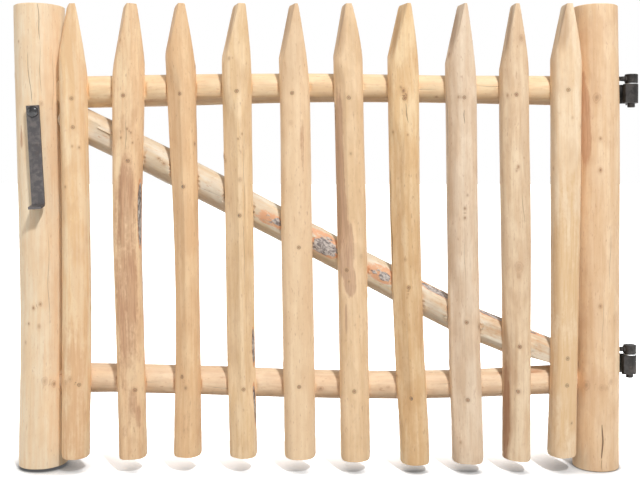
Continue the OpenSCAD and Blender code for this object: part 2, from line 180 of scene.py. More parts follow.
def groupMaterial(name, group, look, relief, shine, metallic=0.0):
    # look: colours and strengths, by the finish group's own names
    material = bpy.data.materials.new(name)
    material.use_nodes = True
    tree = material.node_tree
    shader = tree.nodes["Principled BSDF"]
    values = {label: paint(*value) if isinstance(value, tuple) else value
              for label, value in look.items()}
    finish = addNode(tree, "ShaderNodeGroup", values, node_tree=group).outputs
    tree.links.new(finish["Color"], shader.inputs["Base Color"])
    tree.links.new(finish["Roughness"], shader.inputs["Roughness"])
    bump = addNode(tree, "ShaderNodeBump",
                   {"Height": finish["Height"], "Strength": relief, "Distance": mm})
    tree.links.new(bump.outputs["Normal"], shader.inputs["Normal"])
    shader.inputs["Metallic"].default_value = metallic
    shader.inputs["Specular IOR Level"].default_value = shine
    return material


# studio
studio = {"key": {"turn": 24, "height": 47, "distance": 4.2, "size": 0.34, "power": 130},
          "side": {"turn": -68, "height": 14, "distance": 3.6, "size": 1.8, "power": 20},
          "fill": 0.5, "floorShade": 0.26, "floorWhite": 3.2, "floorLift": 0.1,
          "floorReach": 40, "floorGap": 0.3,  # metres to each side, millimetres under the gate
          "paintedShadowReach": 0.1, "paintedShadowDepth": 3.0, "paintedShadowSamples": 12}


def addLamp(name, values):
    # a round lamp turned from the front and raised, aimed at the middle of the gate
    middle = Vector(((cadLow.x + cadHigh.x) / 2, 0, (cadLow.z + cadHigh.z) / 2))
    turn, height = math.radians(values["turn"]), math.radians(values["height"])
    away = Vector((math.sin(turn) * math.cos(height), -math.cos(turn) * math.cos(height),
                   math.sin(height)))
    data = bpy.data.lights.new(name, "AREA")
    data.shape = "DISK"
    data.size = values["size"]
    data.energy = values["power"]
    lamp = bpy.data.objects.new(name, data)
    scene.collection.objects.link(lamp)
    lamp.location = middle + away * values["distance"]
    lamp.rotation_mode = "QUATERNION"
    lamp.rotation_quaternion = away.to_track_quat("Z", "Y")


def seenDirectly(tree):
    # 1 where the camera looks, or metal or glass shows the surroundings
    path = addNode(tree, "ShaderNodeLightPath").outputs
    return sums(tree, "MAXIMUM", path["Is Camera Ray"],
                sums(tree, "MAXIMUM", path["Is Glossy Ray"], path["Is Transmission Ray"]))


def buildWorld(values):
    # even light all round, which is white where it is seen
    world = bpy.data.worlds.new("studioWhite")
    scene.world = world
    world.use_nodes = True
    tree = world.node_tree
    background = tree.nodes["Background"]
    background.inputs["Color"].default_value = (1, 1, 1, 1)
    inputs = {"Value": seenDirectly(tree), "To Min": values["fill"], "To Max": 1.0}
    strength = addNode(tree, "ShaderNodeMapRange", inputs)
    tree.links.new(strength.outputs["Result"], background.inputs["Strength"])


def buildFloor(values):
    # a pale floor that fades to white, with a painted contact shadow close under the gate
    mesh = bpy.data.meshes.new("studioFloor")
    reach, level = values["floorReach"], cadLow.z - values["floorGap"] * mm
    corners = [(-reach, -reach, level), (reach, -reach, level), (reach, reach, level),
               (-reach, reach, level)]
    mesh.from_pydata(corners, [], [(0, 1, 2, 3)])
    floor = bpy.data.objects.new("studioFloor", mesh)
    scene.collection.objects.link(floor)
    material = bpy.data.materials.new("palePaper")
    material.use_nodes = True
    tree = material.node_tree
    tree.nodes.clear()
    seen = seenDirectly(tree)
    # painted contact shadow: ambient occlusion darkens the floor's colour near the gate
    near = addNode(tree, "ShaderNodeAmbientOcclusion", {"Distance": values["paintedShadowReach"]},
                   samples=values["paintedShadowSamples"]).outputs["AO"]
    near = sums(tree, "POWER", near, values["paintedShadowDepth"])
    white = times(tree, near, values["floorWhite"])
    shade = mixedValue(tree, seen, values["floorShade"], white)
    tint = addNode(tree, "ShaderNodeCombineColor", {0: shade, 1: shade, 2: shade}).outputs[0]
    paper = addNode(tree, "ShaderNodeBsdfDiffuse", {"Color": tint}).outputs[0]
    lift = addNode(tree, "ShaderNodeEmission",
                   {"Strength": times(tree, seen, values["floorLift"])}).outputs[0]
    both = addNode(tree, "ShaderNodeAddShader", {0: paper, 1: lift}).outputs[0]
    addNode(tree, "ShaderNodeOutputMaterial", {"Surface": both})
    mesh.materials.append(material)
    floor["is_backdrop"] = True


addLamp("keyLamp", studio["key"])
addLamp("sideLamp", studio["side"])
buildWorld(studio)
buildFloor(studio)
print("studio built")


# wood finish; each noise has its spread across, through and along the pole, detail and roughness
woodNoises = {
    "fibre": ((560, 560, 24), 3, 0.6), "streak": ((150, 150, 8), 3, 0.55),
    "cloud": ((52, 52, 19), 4, 0.6), "blotch": ((30, 30, 17), 3, 0.55),
    "rough": ((210, 210, 120), 3, 0.65), "fleck": ((400, 400, 85), 2, 0.6),
    "facet": ((38, 38, 13), 2, 0.4), "band": ((66, 66, 2.8), 1, 0.4),
    "flaky": ((230, 230, 120), 4, 0.75), "sawMark": ((90, 1400, 0), 2, 0.5)}
woodDarks = {"shade": paint(176, 150, 130), "heart": paint(134, 98, 72),
             "knotRim": paint(150, 108, 78), "screwRim": paint(104, 78, 60),
             "slit": paint(112, 82, 60)}
woodSurface = {"relief": 0.8, "shine": 0.32}


def buildWoodGroup():
    tree, given, out = newGroup(
        "peeledWood", "ShaderNodeTree",
        {"Pale": ("c", paint(248, 222, 184)), "Warm": ("c", paint(242, 206, 160)),
         "Tan": ("c", paint(222, 180, 136)), "Stain": ("c", paint(196, 146, 112)),
         "Inner Bark": ("c", paint(222, 160, 120)), "Bark": ("c", paint(112, 100, 94)),
         "Bark Light": ("c", paint(206, 196, 186)), "Bark Dark": ("c", paint(60, 52, 48)),
         "Seed": ("f", 0.0), "Streaks": ("f", 0.5), "Blotches": ("f", 0.5), "Flecks": ("f", 0.5)},
        {"Color": "c", "Roughness": "f", "Height": "f"})

    def field(label, output="Vector"):
        return addNode(tree, "ShaderNodeAttribute", attribute_name=label).outputs[output]

    pole, sawn = field("pole"), field("sawn", "Fac")
    toneParts, knotParts, crackParts = [split(tree, field(label))
                                        for label in ("tone", "knot", "crack")]
    seed = given["Seed"]
    place = shifted(tree, pole, seed, times(tree, seed, 1.7), times(tree, seed, 0.6))
    noise = {label: grainNoise(tree, place, *values) for label, values in woodNoises.items()}
    fibre, streak, cloud, rough = noise["fibre"], noise["streak"], noise["cloud"], noise["rough"]

    # peeled surface: pale and warm streaks, tan clouds, fine fibres, small flecks
    share = ease(tree, timesPlus(tree, streak, 0.55, times(tree, cloud, 0.45)), 0.40, 0.60)
    colour = mixed(tree, share, given["Pale"], given["Warm"])
    clouds = times(tree, ease(tree, noise["blotch"], 0.50, 0.72), given["Blotches"])
    colour = mixed(tree, clouds, colour, given["Tan"])
    facet = ease(tree, noise["facet"], 0.47, 0.53)
    band = ease(tree, noise["band"], 0.485, 0.515)
    facets = timesPlus(tree, band, 0.4, times(tree, facet, 0.6))
    colour = mixed(tree, times(tree, facets, times(tree, given["Blotches"], 0.75)), colour,
                   given["Tan"])
    dark = times(tree, ease(tree, fibre, 0.52, 0.78), given["Streaks"])
    colour = mixed(tree, times(tree, dark, 0.75), colour, given["Tan"])
    bright = times(tree, ease(tree, fibre, 0.44, 0.26), times(tree, given["Streaks"], 0.6))
    colour = mixed(tree, bright, colour, given["Pale"])
    fleck = times(tree, ease(tree, noise["fleck"], 0.62, 0.74), given["Flecks"])
    colour = mixed(tree, fleck, colour, given["Stain"])
    speckle = times(tree, ease(tree, rough, 0.52, 0.72), times(tree, given["Flecks"], 0.45))
    colour = mixed(tree, speckle, colour, given["Tan"])

    # stains, painted shade on flats and bevels with darker tone elsewhere, and left-over bark
    ragged = timesPlus(tree, centred(tree, rough), 0.5,
                       times(tree, centred(tree, streak), 0.7))
    ragged = timesPlus(tree, centred(tree, cloud), 0.9, ragged)
    stain = ease(tree, sums(tree, "ADD", toneParts[1], ragged), 0.28, 0.72)
    stain = times(tree, stain, ease(tree, toneParts[1], 0.02, 0.2))
    stain = times(tree, stain, timesPlus(tree, ease(tree, fibre, 0.42, 0.62), 0.4, 0.72))
    colour = mixed(tree, times(tree, stain, 0.8), colour, given["Stain"])
    # shade tone: painted shade on flats and bevels, a darker wood tone elsewhere
    darkToneAndPaintedShade = mixed(tree, 1.0, colour, woodDarks["shade"], "MULTIPLY")
    colour = mixed(tree, times(tree, toneParts[2], 0.55), colour, darkToneAndPaintedShade)
    barkLevel = sums(tree, "ADD", toneParts[0], times(tree, ragged, 1.1))
    near = ease(tree, toneParts[0], 0.02, 0.15)
    inner = times(tree, ease(tree, barkLevel, 0.10, 0.36), near)
    bark = times(tree, ease(tree, barkLevel, 0.52, 0.62), near)
    flaky = noise["flaky"]
    innerColour = mixed(tree, ease(tree, flaky, 0.52, 0.7), given["Inner Bark"], given["Warm"])
    colour = mixed(tree, times(tree, inner, 0.9), colour, innerColour)
    # partly the bark's own grey, partly painted highlight on raised flakes and shade in pits
    barkColour = mixed(tree, ease(tree, flaky, 0.40, 0.60), given["Bark"], given["Bark Light"])
    barkColour = mixed(tree, ease(tree, flaky, 0.40, 0.30), barkColour, given["Bark Dark"])
    colour = mixed(tree, bark, colour, barkColour)

    # knots: a dark heart, faint rings and a warm halo; a driven screw leaves a pressed dark rim
    reach = sums(tree, "SQRT", squareSum(tree, knotParts[0], knotParts[1]))
    reach = timesPlus(tree, centred(tree, rough), 0.9, reach)
    strength = sums(tree, "MINIMUM", knotParts[2], 1.0)
    pressed = ease(tree, knotParts[2], 1.4, 1.6)
    body = times(tree, ease(tree, reach, 1.15, 0.7), strength)
    rings = ease(tree, sums(tree, "SINE", times(tree, reach, 15.0)), -0.4, 0.8)
    rim = times(tree, times(tree, ease(tree, reach, 0.66, 0.92), ease(tree, reach, 1.22, 0.98)),
                times(tree, strength, timesPlus(tree, pressed, 0.4, 0.2)))
    halo = times(tree, ease(tree, reach, 2.8, 0.8), times(tree, strength, 0.5))
    colour = mixed(tree, halo, colour, given["Tan"])
    knotColour = mixed(tree, rings, given["Tan"], given["Stain"])
    colour = mixed(tree, times(tree, body, 0.75), colour, knotColour)
    heart = times(tree, ease(tree, reach, 0.8, 0.1), times(tree, strength, strength))
    colour = mixed(tree, times(tree, heart, 0.8), colour, woodDarks["heart"])
    rimColour = mixed(tree, pressed, woodDarks["knotRim"], woodDarks["screwRim"])
    colour = mixed(tree, rim, colour, rimColour)

    # drying cracks along the grain: a shallow groove, darkened as painted shade inside
    wander = times(tree, centred(tree, streak), 2.2)
    offset = sums(tree, "ABSOLUTE", sums(tree, "ADD", crackParts[0], wander))
    slit = ease(tree, sums(tree, "SUBTRACT", offset, crackParts[1]), 0.35, -0.35)
    slit = times(tree, slit, ease(tree, crackParts[1], 0.02, 0.25))
    colour = mixed(tree, times(tree, slit, crackParts[2]), colour, woodDarks["slit"])

    # sawn ends: growth rings, saw marks across and a darker heart
    poleParts = split(tree, pole)
    radius = sums(tree, "SQRT", squareSum(tree, poleParts[0], poleParts[1]))
    ringPlace = timesPlus(tree, radius, 2100.0, times(tree, noise["blotch"], 5.0))
    growth = ease(tree, sums(tree, "SINE", ringPlace), 0.1, 0.95)
    sawMark = noise["sawMark"]
    endColour = mixed(tree, times(tree, growth, 0.6), given["Pale"], given["Tan"])
    endColour = mixed(tree, times(tree, ease(tree, sawMark, 0.5, 0.7), 0.35), endColour,
                      given["Tan"])
    endColour = mixed(tree, ease(tree, radius, 0.007, 0.001), endColour, given["Stain"])
    ends = ease(tree, sawn, 0.45, 0.55)
    tree.links.new(mixed(tree, ends, colour, endColour), out["Color"])

    wet = timesPlus(tree, cloud, 0.22, 0.46)
    wet = timesPlus(tree, bark, 0.2, wet)
    tree.links.new(timesPlus(tree, ends, 0.12, wet), out["Roughness"])

    # heights in millimetres
    height = timesPlus(tree, fibre, 0.22, times(tree, streak, 0.35))
    height = timesPlus(tree, facets, 0.3, height)
    height = timesPlus(tree, fleck, -0.18, height)
    height = timesPlus(tree, bark, timesPlus(tree, flaky, 1.1, 0.2), height)
    height = timesPlus(tree, rim, -0.3, height)
    height = timesPlus(tree, slit, times(tree, crackParts[2], -1.1), height)
    endHeight = timesPlus(tree, sawMark, 0.5, times(tree, growth, 0.1))
    tree.links.new(mixedValue(tree, ends, height, endHeight), out["Height"])
    return tree


woodGroup = buildWoodGroup()
print("wood finish built")


# wood shapes
hiddenSide = 1000  # added to a side that is counted round the pole, out of sight from the front
screwStrength = 2  # a mark this strong is a driven screw and no knot
unset = 1e9
poleShape = {"stationStep": 3, "rayReach": 0.08, "cuts": 41, "arris": 0.9, "socketHalf": 62,
             "socketWindow": 45, "socketSunk": 0.7, "overrun": 0.05,
             "caps": (0.97, 0.82, 0.6, 0.38, 0.16)}
splitShape = {"rayReach": 0.1, "rays": 97, "backInset": 0.25, "arris": 0.8, "pointFade": 8,
              "caps": (0.96, 0.75, 0.5, 0.25)}


def cadTree(name):
    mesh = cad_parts[name].data
    points = [v.co.copy() for v in mesh.vertices]
    return BVHTree.FromPolygons(points, [tuple(p.vertices) for p in mesh.polygons])


def smoothRows(field, reach, axis, wrap=False):
    # running mean over reach cells to each side; the ends repeat unless the field wraps
    pads = [(0, 0)] * field.ndim
    pads[axis] = (reach, reach)
    padded = np.pad(field, pads, mode="wrap" if wrap else "edge")
    total = np.zeros_like(field)
    for step in range(2 * reach + 1):
        index = [slice(None)] * field.ndim
        index[axis] = slice(step, step + field.shape[axis])
        total = total + padded[tuple(index)]
    return total / (2 * reach + 1)


def keepEdges(raw, smooth, loose=0.35 * mm, tight=0.9 * mm):
    # the smooth field, but the raw one where a real edge or flat would be lost
    gap = np.abs(raw - smooth)
    share = np.clip((gap - loose) / (tight - loose), 0, 1)
    return smooth + (raw - smooth) * share * share * (3 - 2 * share)


def setField(mesh, label, values):
    single = values.ndim == 1
    field = mesh.attributes.new(label, "FLOAT" if single else "FLOAT_VECTOR", "POINT")
    flat = np.ascontiguousarray(values, np.float32).ravel()
    field.data.foreach_set("value" if single else "vector", flat)


def shellObject(name, rows, extra, caps):
    # rows: fields of (stations, round); caps: how far the rings that close both ends shrink
    points, pole = rows["points"], rows["pole"]
    count, around = points.shape[:2]
    coords = [points.reshape(-1, 3)]
    poles = [pole.reshape(-1, 3)]
    arcs = [rows["arc"].reshape(-1)]
    skin = np.zeros((count, around))
    skin[[0, -1]] = 0.5
    sawn = [skin.reshape(-1)]
    faces = []
    for i in range(count - 1):
        for j in range(around):
            k = (j + 1) % around
            faces.append((i * around + j, i * around + k, (i + 1) * around + k,
                          (i + 1) * around + j))
    total = count * around
    for row in (0, count - 1):
        ringPoints, ringPole = points[row], pole[row]
        heart, heartPole = ringPoints.mean(0), ringPole.mean(0)
        previous = [row * around + j for j in range(around)]
        for share in caps:
            coords.append(heart + (ringPoints - heart) * share)
            poles.append(heartPole + (ringPole - heartPole) * share)
            arcs.append(rows["arc"][row])
            sawn.append(np.ones(around))
            now = [total + j for j in range(around)]
            total += around
            for j in range(around):
                k = (j + 1) % around
                faces.append((previous[j], now[j], now[k], previous[k]))
            previous = now
        coords.append(heart[None])
        poles.append(heartPole[None])
        arcs.append(np.zeros(1))
        sawn.append(np.ones(1))
        for j in range(around):
            faces.append((previous[j], total, previous[(j + 1) % around]))
        total += 1
    mesh = bpy.data.meshes.new(name)
    mesh.from_pydata([tuple(p) for p in np.concatenate(coords)], [], faces)
    poles, arcs = np.concatenate(poles), np.concatenate(arcs)
    setField(mesh, "pole", poles)
    setField(mesh, "sawn", np.concatenate(sawn))
    for label, maker in extra.items():
        setField(mesh, label, maker(arcs, poles[:, 2]))
    shape = bmesh.new()
    shape.from_mesh(mesh)
    bmesh.ops.recalc_face_normals(shape, faces=shape.faces)
    shape.to_mesh(mesh)
    shape.free()
    made = bpy.data.objects.new(name, mesh)
    scene.collection.objects.link(made)
    return made


def arcLengths(points, front):
    # distance round each row from its front point, and each row's whole length
    steps = np.linalg.norm(np.roll(points, -1, axis=1) - points, axis=2)
    runs = np.cumsum(steps, axis=1)[:, :-1]
    runs = np.concatenate([np.zeros((points.shape[0], 1)), runs], axis=1)
    return runs - runs[:, front:front + 1], steps.sum(1)


def markFields(rows, marks, cracks, patches):
    # turns lists in millimetres (side from the middle, height along) into fields on the shell
    arc, along, across = rows["arc"], rows["pole"][:, :, 2], rows["pole"][:, :, 0]
    girth = float(np.median(rows["girth"]))

    def onSurface(side, height):
        if abs(side) >= hiddenSide:
            return (side - math.copysign(hiddenSide, side)) * mm
        row = int(np.abs(along.mean(1) - height * mm).argmin())
        columns = np.where(rows["frontHalf"][row])[0]
        best = columns[int(np.abs(across[row, columns] - side * mm).argmin())]
        return float(arc[row, best])

    spots = [(onSurface(side, height), height * mm, size * mm, strength)
             for side, height, size, strength in marks]
    lines = [(onSurface(side0, height0), height0 * mm, onSurface(side1, height1), height1 * mm,
              width) for side0, height0, side1, height1, width in cracks]
    areas = [(kind, onSurface(side, height), height * mm, wide * mm, tall * mm, strength)
             for kind, side, height, wide, tall, strength in patches]

    def turned(gap):
        return (gap + girth / 2) % girth - girth / 2

    def knots(arcs, heights):
        # across and along, in knot sizes, and strength
        stretch, edge, limit = 1.35, 2.7, 9
        best = np.full(len(arcs), unset)
        field = np.zeros((len(arcs), 3))
        field[:, :2] = limit
        for spotArc, spotHeight, size, strength in spots:
            gapAcross = turned(arcs - spotArc) / size
            tall = size * (1.0 if strength == screwStrength else stretch)
            gapAlong = (heights - spotHeight) / tall
            far = np.hypot(gapAcross, gapAlong)
            take = far < best
            best[take] = far[take]
            near = np.where(far < edge, strength, 0)
            values = [np.clip(gapAcross, -limit, limit), np.clip(gapAlong, -limit, limit), near]
            field[take] = np.stack(values, 1)[take]
        return field

    def slits(arcs, heights):
        # millimetres to the side of the crack, its width there and its darkness
        away, limit, reach = 30, 8, 3
        best = np.full(len(arcs), unset)
        field = np.zeros((len(arcs), 3))
        field[:, 0] = away
        for arc0, height0, arc1, height1, width in lines:
            share = (heights - height0) / (height1 - height0)
            inside = np.clip(share, 0, 1)
            middle = arc0 + (arc1 - arc0) * inside
            waves = np.sin(heights * 60 + arc0 * 900)
            middle = middle + 1.6 * mm * waves * np.sin(np.pi * inside)
            gap = turned(arcs - middle) / mm
            taper = np.sqrt(np.clip(np.sin(np.pi * inside), 0, 1)) * width
            taper = np.where((share <= 0) | (share >= 1) | (np.abs(gap) > reach), 0, taper)
            far = np.abs(gap) + np.abs(share - inside) * 900
            take = far < best
            best[take] = far[take]
            dark = np.full(len(arcs), min(1, 0.55 + 0.3 * width))
            field[take] = np.stack([np.clip(gap, -limit, limit), taper, dark], 1)[take]
        return field

    def tones(arcs, heights):
        # how much bark, stain and shade (painted shade on flats and bevels, darker tone elsewhere)
        corner, overlap = 2.4, 1.15
        field = np.zeros((len(arcs), 3))
        for kind, areaArc, areaHeight, wide, tall, strength in areas:
            far = np.abs(turned(arcs - areaArc) / wide) ** corner
            far = far + np.abs((heights - areaHeight) / tall) ** corner
            level = np.clip(overlap - far, 0, 1) * strength
            column = ("bark", "stain", "shade").index(kind)
            field[:, column] = np.maximum(field[:, column], level)
        return field

    return {"knot": knots, "crack": slits, "tone": tones}


def flattened(across, depth, along, flats):
    # hews flats: turn from the front, distance from the middle, from and to a height, fade
    for turn, reach, low, high, fade in flats:
        turn = math.radians(turn)
        share = np.clip((along / mm - low) / fade, 0, 1) * np.clip((high - along / mm) / fade, 0, 1)
        share = share * share * (3 - 2 * share)
        out = across * math.sin(turn) - depth * math.cos(turn)
        over = np.clip(out - reach * mm, 0, None) * share
        across = across - over * math.sin(turn)
        depth = depth + over * math.cos(turn)
    return across, depth


def runOn(curve, first, last):
    # the curve between first and last, and straight on past them
    slope = curve.deriv()

    def value(along):
        inside = np.clip(along, first, last)
        return curve(inside) + slope(inside) * (along - inside)

    return value


def poleAxes(name, look):
    # where a pole starts, its ways along, sideways and back, and its length
    low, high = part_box(name)
    if look["lies"] == "upright":
        start = Vector(((low.x + high.x) / 2, (low.y + high.y) / 2, low.z))
        alongWay, sideWay, length = Vector((0, 0, 1)), Vector((1, 0, 0)), high.z - low.z
    elif look["lies"] == "level":
        start = Vector((low.x, (low.y + high.y) / 2, (low.z + high.z) / 2))
        alongWay, sideWay, length = Vector((1, 0, 0)), Vector((0, 0, 1)), high.x - low.x
    else:
        radius = look["size"] * mm / 2
        start = Vector((low.x, (low.y + high.y) / 2, high.z - radius))
        finish = Vector((high.x, (low.y + high.y) / 2, low.z + radius))
        alongWay = (finish - start).normalized()
        sideWay = Vector((-alongWay.z, 0, alongWay.x))
        length = (finish - start).length
    return {"start": start, "along": alongWay, "side": sideWay, "depth": Vector((0, 1, 0)),
            "length": length}


def spotOn(axes, along, side, depth):
    return axes["start"] + axes["along"] * along + axes["side"] * side + axes["depth"] * depth


def castOut(tree, axes, origin, turn):
    way = axes["side"] * math.sin(turn) + axes["depth"] * math.cos(turn)
    found = tree.ray_cast(origin, way, poleShape["rayReach"])
    return found[3] if found[0] is not None else None


def poleMiddle(tree, axes, look, turns, margin):
    # the middle of the pole as smooth curves: circles through the sound part of each section
    sides, depths, spots = [], [], []
    here = (0, 0)
    for along in np.linspace(margin, axes["length"] - margin, poleShape["cuts"]):
        origin = spotOn(axes, along, *here)
        hits = []
        for turn in turns[::2]:
            far = castOut(tree, axes, origin, turn)
            if far is not None and far > look["size"] * mm * 0.3:
                hits.append((here[0] + far * math.sin(turn), here[1] + far * math.cos(turn)))
        if len(hits) < look["around"] / 6:
            continue
        hits = np.array(hits)
        for _ in range(4):
            system = np.column_stack([2 * hits, np.ones(len(hits))])
            middle = np.linalg.lstsq(system, (hits ** 2).sum(1), rcond=None)[0]
            radius = math.sqrt(middle[2] + middle[:2] @ middle[:2])
            gaps = np.abs(np.linalg.norm(hits - middle[:2], axis=1) - radius)
            hits = hits[gaps <= max(0.4 * mm, np.percentile(gaps, 80))]
        spots.append(along)
        sides.append(middle[0])
        depths.append(middle[1])
        here = tuple(Vector((float(middle[0]), float(middle[1]))))
    return [runOn(np.polynomial.Polynomial.fit(spots, values, degree), spots[0], spots[-1])
            for values, degree in ((sides, 5), (depths, 2))]


def poleRadii(tree, axes, stations, angles, facing, curves):
    # how far the surface is from the middle, at each station and turn
    sideCurve, depthCurve = curves
    radii = np.full((len(stations), len(angles)), np.nan)
    for i, along in enumerate(stations):
        origin = spotOn(axes, along, sideCurve(along), depthCurve(along))
        for j, turn in enumerate(angles):
            far = castOut(tree, axes, origin, turn)
            if far is not None:
                radii[i, j] = far
    radii[radii < np.nanmedian(radii) * 0.55] = np.nan
    radii[np.isnan(radii).mean(1) > 0.3] = np.nan
    for j in range(len(angles)):  # bores are closed: the hardware covers them
        gaps = np.isnan(radii[:, j])
        if gaps.any():
            radii[gaps, j] = np.interp(stations[gaps], stations[~gaps], radii[~gaps, j])
    if facing.any():  # the sockets are closed too, on the side that the rails enter
        window = poleShape["socketWindow"]
        padded = np.pad(radii, ((window, window), (0, 0)), mode="reflect")
        plain = np.stack([np.median(padded[i:i + 2 * window + 1], axis=0)
                          for i in range(len(stations))])
        sunk = (radii < plain - poleShape["socketSunk"] * mm) & facing[None]
        radii[sunk] = plain[sunk]
    smooth = smoothRows(smoothRows(radii, 4, 0), 3, 1, True)
    smooth = smoothRows(smoothRows(smooth, 4, 0), 2, 1, True)
    return keepEdges(radii, smooth)


def roundPole(name, look, marks, cracks, patches):
    # a whole pole: its rows follow the CAD pole, whose facets are smoothed away
    tree, axes = cadTree(name), poleAxes(name, look)
    length, margin, around = axes["length"], look["margin"] * mm, look["around"]
    angles = np.arange(around) * 2 * math.pi / around
    stations = np.arange(margin, length - margin, poleShape["stationStep"] * mm)
    facing = np.zeros(around, bool)
    if look["sockets"]:
        apart = np.angle(np.exp(1j * (angles - math.radians(look["sockets"]))))
        facing = np.abs(apart) < math.radians(poleShape["socketHalf"])
    curves = sideCurve, depthCurve = poleMiddle(tree, axes, look, angles[~facing], margin)
    radii = poleRadii(tree, axes, stations, angles, facing, curves)

    # full radius beyond the measured stretch, then where each line along the pole ends
    overrun = poleShape["overrun"]
    stretch = np.concatenate([[-overrun], stations, [length + overrun]])
    radii = np.concatenate([radii[:20].max(0)[None], radii, radii[-20:].max(0)[None]])

    def radiusAt(along, column):
        return np.interp(along, stretch, radii[:, column])

    def endOf(column, begin, way, share=0.95):
        turn = angles[column]
        along = begin
        for step in (3 * mm, 0.5 * mm):
            while -0.03 < along < length + 0.03:
                reach = radiusAt(along, column) * share
                spot = spotOn(axes, along, sideCurve(along) + reach * math.sin(turn),
                              depthCurve(along) + reach * math.cos(turn))
                place, normal = tree.find_nearest(spot)[:2]
                if (spot - place).dot(normal) > 0:
                    break
                along += way * step
            if step > 1 * mm:
                along -= way * step
        return along

    def endsOf(begin, way):
        if look["lies"] != "sloping":
            return np.array([endOf(j, begin, way) for j in range(around)])
        # slanting ends are found inside the pole's skin and carried on out to it
        found = [1.7 * endOf(j, begin, way, 0.8) - 0.7 * endOf(j, begin, way, 0.55)
                 for j in range(around)]
        return smoothRows(np.array(found), 1, 0, True)

    starts = np.clip(endsOf(margin + 2 * mm, -1), 0, length)
    ends = np.clip(endsOf(length - margin - 2 * mm, 1), 0, length)
    arris, step = poleShape["arris"] * mm, poleShape["stationStep"] * mm
    shares = np.linspace(step / length, 1 - step / length, int(length / (look["pitch"] * mm)))
    shares = np.concatenate([[0, arris / length], shares, [1 - arris / length, 1]])
    alongs = starts[None] + (ends - starts)[None] * shares[:, None]
    reaches = np.stack([radiusAt(alongs[:, j], j) for j in range(around)], 1)
    reaches[[0, -1]] -= arris
    across = reaches * np.sin(angles)[None]
    depth = reaches * np.cos(angles)[None]
    across, depth = flattened(across, depth, alongs, look["flats"])
    points = (np.array(axes["start"])[None, None] + np.array(axes["along"]) * alongs[..., None]
              + np.array(axes["side"]) * (across + sideCurve(alongs))[..., None]
              + np.array(axes["depth"]) * (depth + depthCurve(alongs))[..., None])
    arc, girth = arcLengths(points, around // 2)
    rows = {"points": points, "pole": np.stack([across, depth, alongs], 2), "arc": arc,
            "girth": girth, "frontHalf": depth < 0}
    fields = markFields(rows, marks, cracks, patches)
    return shellObject(name + "_peeled", rows, fields, poleShape["caps"])


def halfPole(name, look, marks, cracks, patches, flats):
    # a pole split in two: flat back, round front, pointed top
    low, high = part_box(name)
    tree = cadTree(name)
    rayReach = splitShape["rayReach"]
    back = high.y - splitShape["backInset"] * mm
    length = high.z - low.z
    stations = np.arange(3 * mm, length - 2 * mm, look["pitch"] * mm)
    stations = np.concatenate([[0.05 * mm], stations, [length - 0.1 * mm]])
    fan = np.linspace(0, math.pi, splitShape["rays"])
    frontCount = look["front"]
    profiles = [None] * len(stations)
    middles = np.zeros(len(stations))

    def sweep(order, x):
        for i in order:
            z = low.z + stations[i]
            for _ in range(2):
                right = tree.ray_cast(Vector((x, back, z)), Vector((1, 0, 0)), rayReach)
                left = tree.ray_cast(Vector((x, back, z)), Vector((-1, 0, 0)), rayReach)
                if right[0] is None or left[0] is None:
                    break
                x = (right[0].x + left[0].x) / 2
            found = []
            for turn in fan:
                way = Vector((math.cos(turn), -math.sin(turn), 0))
                hit = tree.ray_cast(Vector((x, back, z)), way, rayReach)[0]
                if hit is not None:
                    found.append((hit.x - x, hit.y - high.y))
            found = np.array(found)
            steps = np.cumsum(np.linalg.norm(np.diff(found, axis=0), axis=1))
            steps = np.concatenate([[0], steps])
            even = np.linspace(0, steps[-1], frontCount)
            profiles[i] = np.stack([np.interp(even, steps, found[:, column])
                                    for column in (0, 1)], 1)
            profiles[i][[0, -1], 1] = 0
            middles[i] = x

    # from half way up to the top, then from there down
    begin = len(stations) // 2
    sweep(range(begin, len(stations)), (low.x + high.x) / 2)
    sweep(range(begin - 1, -1, -1), middles[begin])
    profiles = np.array(profiles)
    smoothMiddle = smoothRows(smoothRows(middles, 5, 0), 5, 0)
    profiles[:, :, 0] += (middles - smoothMiddle)[:, None]
    smooth = smoothRows(smoothRows(profiles, 4, 0), 2, 1)
    smooth[:, [0, -1]] = smoothRows(smoothRows(profiles, 5, 0), 4, 0)[:, [0, -1]]
    smooth[:, [0, -1], 1] = 0
    body = (look["pointFrom"] * mm - stations) / (splitShape["pointFade"] * mm)
    body = np.clip(body, 0, 1)[:, None, None]
    smooth = profiles + (smooth - profiles) * body
    profiles = keepEdges(profiles, smooth, 0.5 * mm, 1.2 * mm)
    backLine = np.linspace(profiles[:, -1], profiles[:, 0], look["back"] + 2, axis=1)[:, 1:-1]
    section = np.concatenate([profiles, backLine], 1)
    across, depth = section[:, :, 0], section[:, :, 1]
    alongs = np.repeat(stations[:, None], section.shape[1], 1)
    across, depth = flattened(across, depth, alongs, flats)
    depth = np.minimum(depth, 0)
    arris = splitShape["arris"] * mm
    for row in (0, -1):
        size = np.maximum(np.hypot(across[row], depth[row]), 1e-6)
        across[row] *= 1 - arris / np.maximum(size, 4 * arris)
    points = np.stack([across + smoothMiddle[:, None], depth + high.y, alongs + low.z], 2)
    arc, girth = arcLengths(points, frontCount // 2)
    frontHalf = np.zeros(across.shape, bool)
    frontHalf[:, :frontCount] = True
    rows = {"points": points, "pole": np.stack([across, depth, alongs], 2), "arc": arc,
            "girth": girth, "frontHalf": frontHalf}
    fields = markFields(rows, marks, cracks, patches)
    return shellObject(name + "_split", rows, fields, splitShape["caps"]), rows


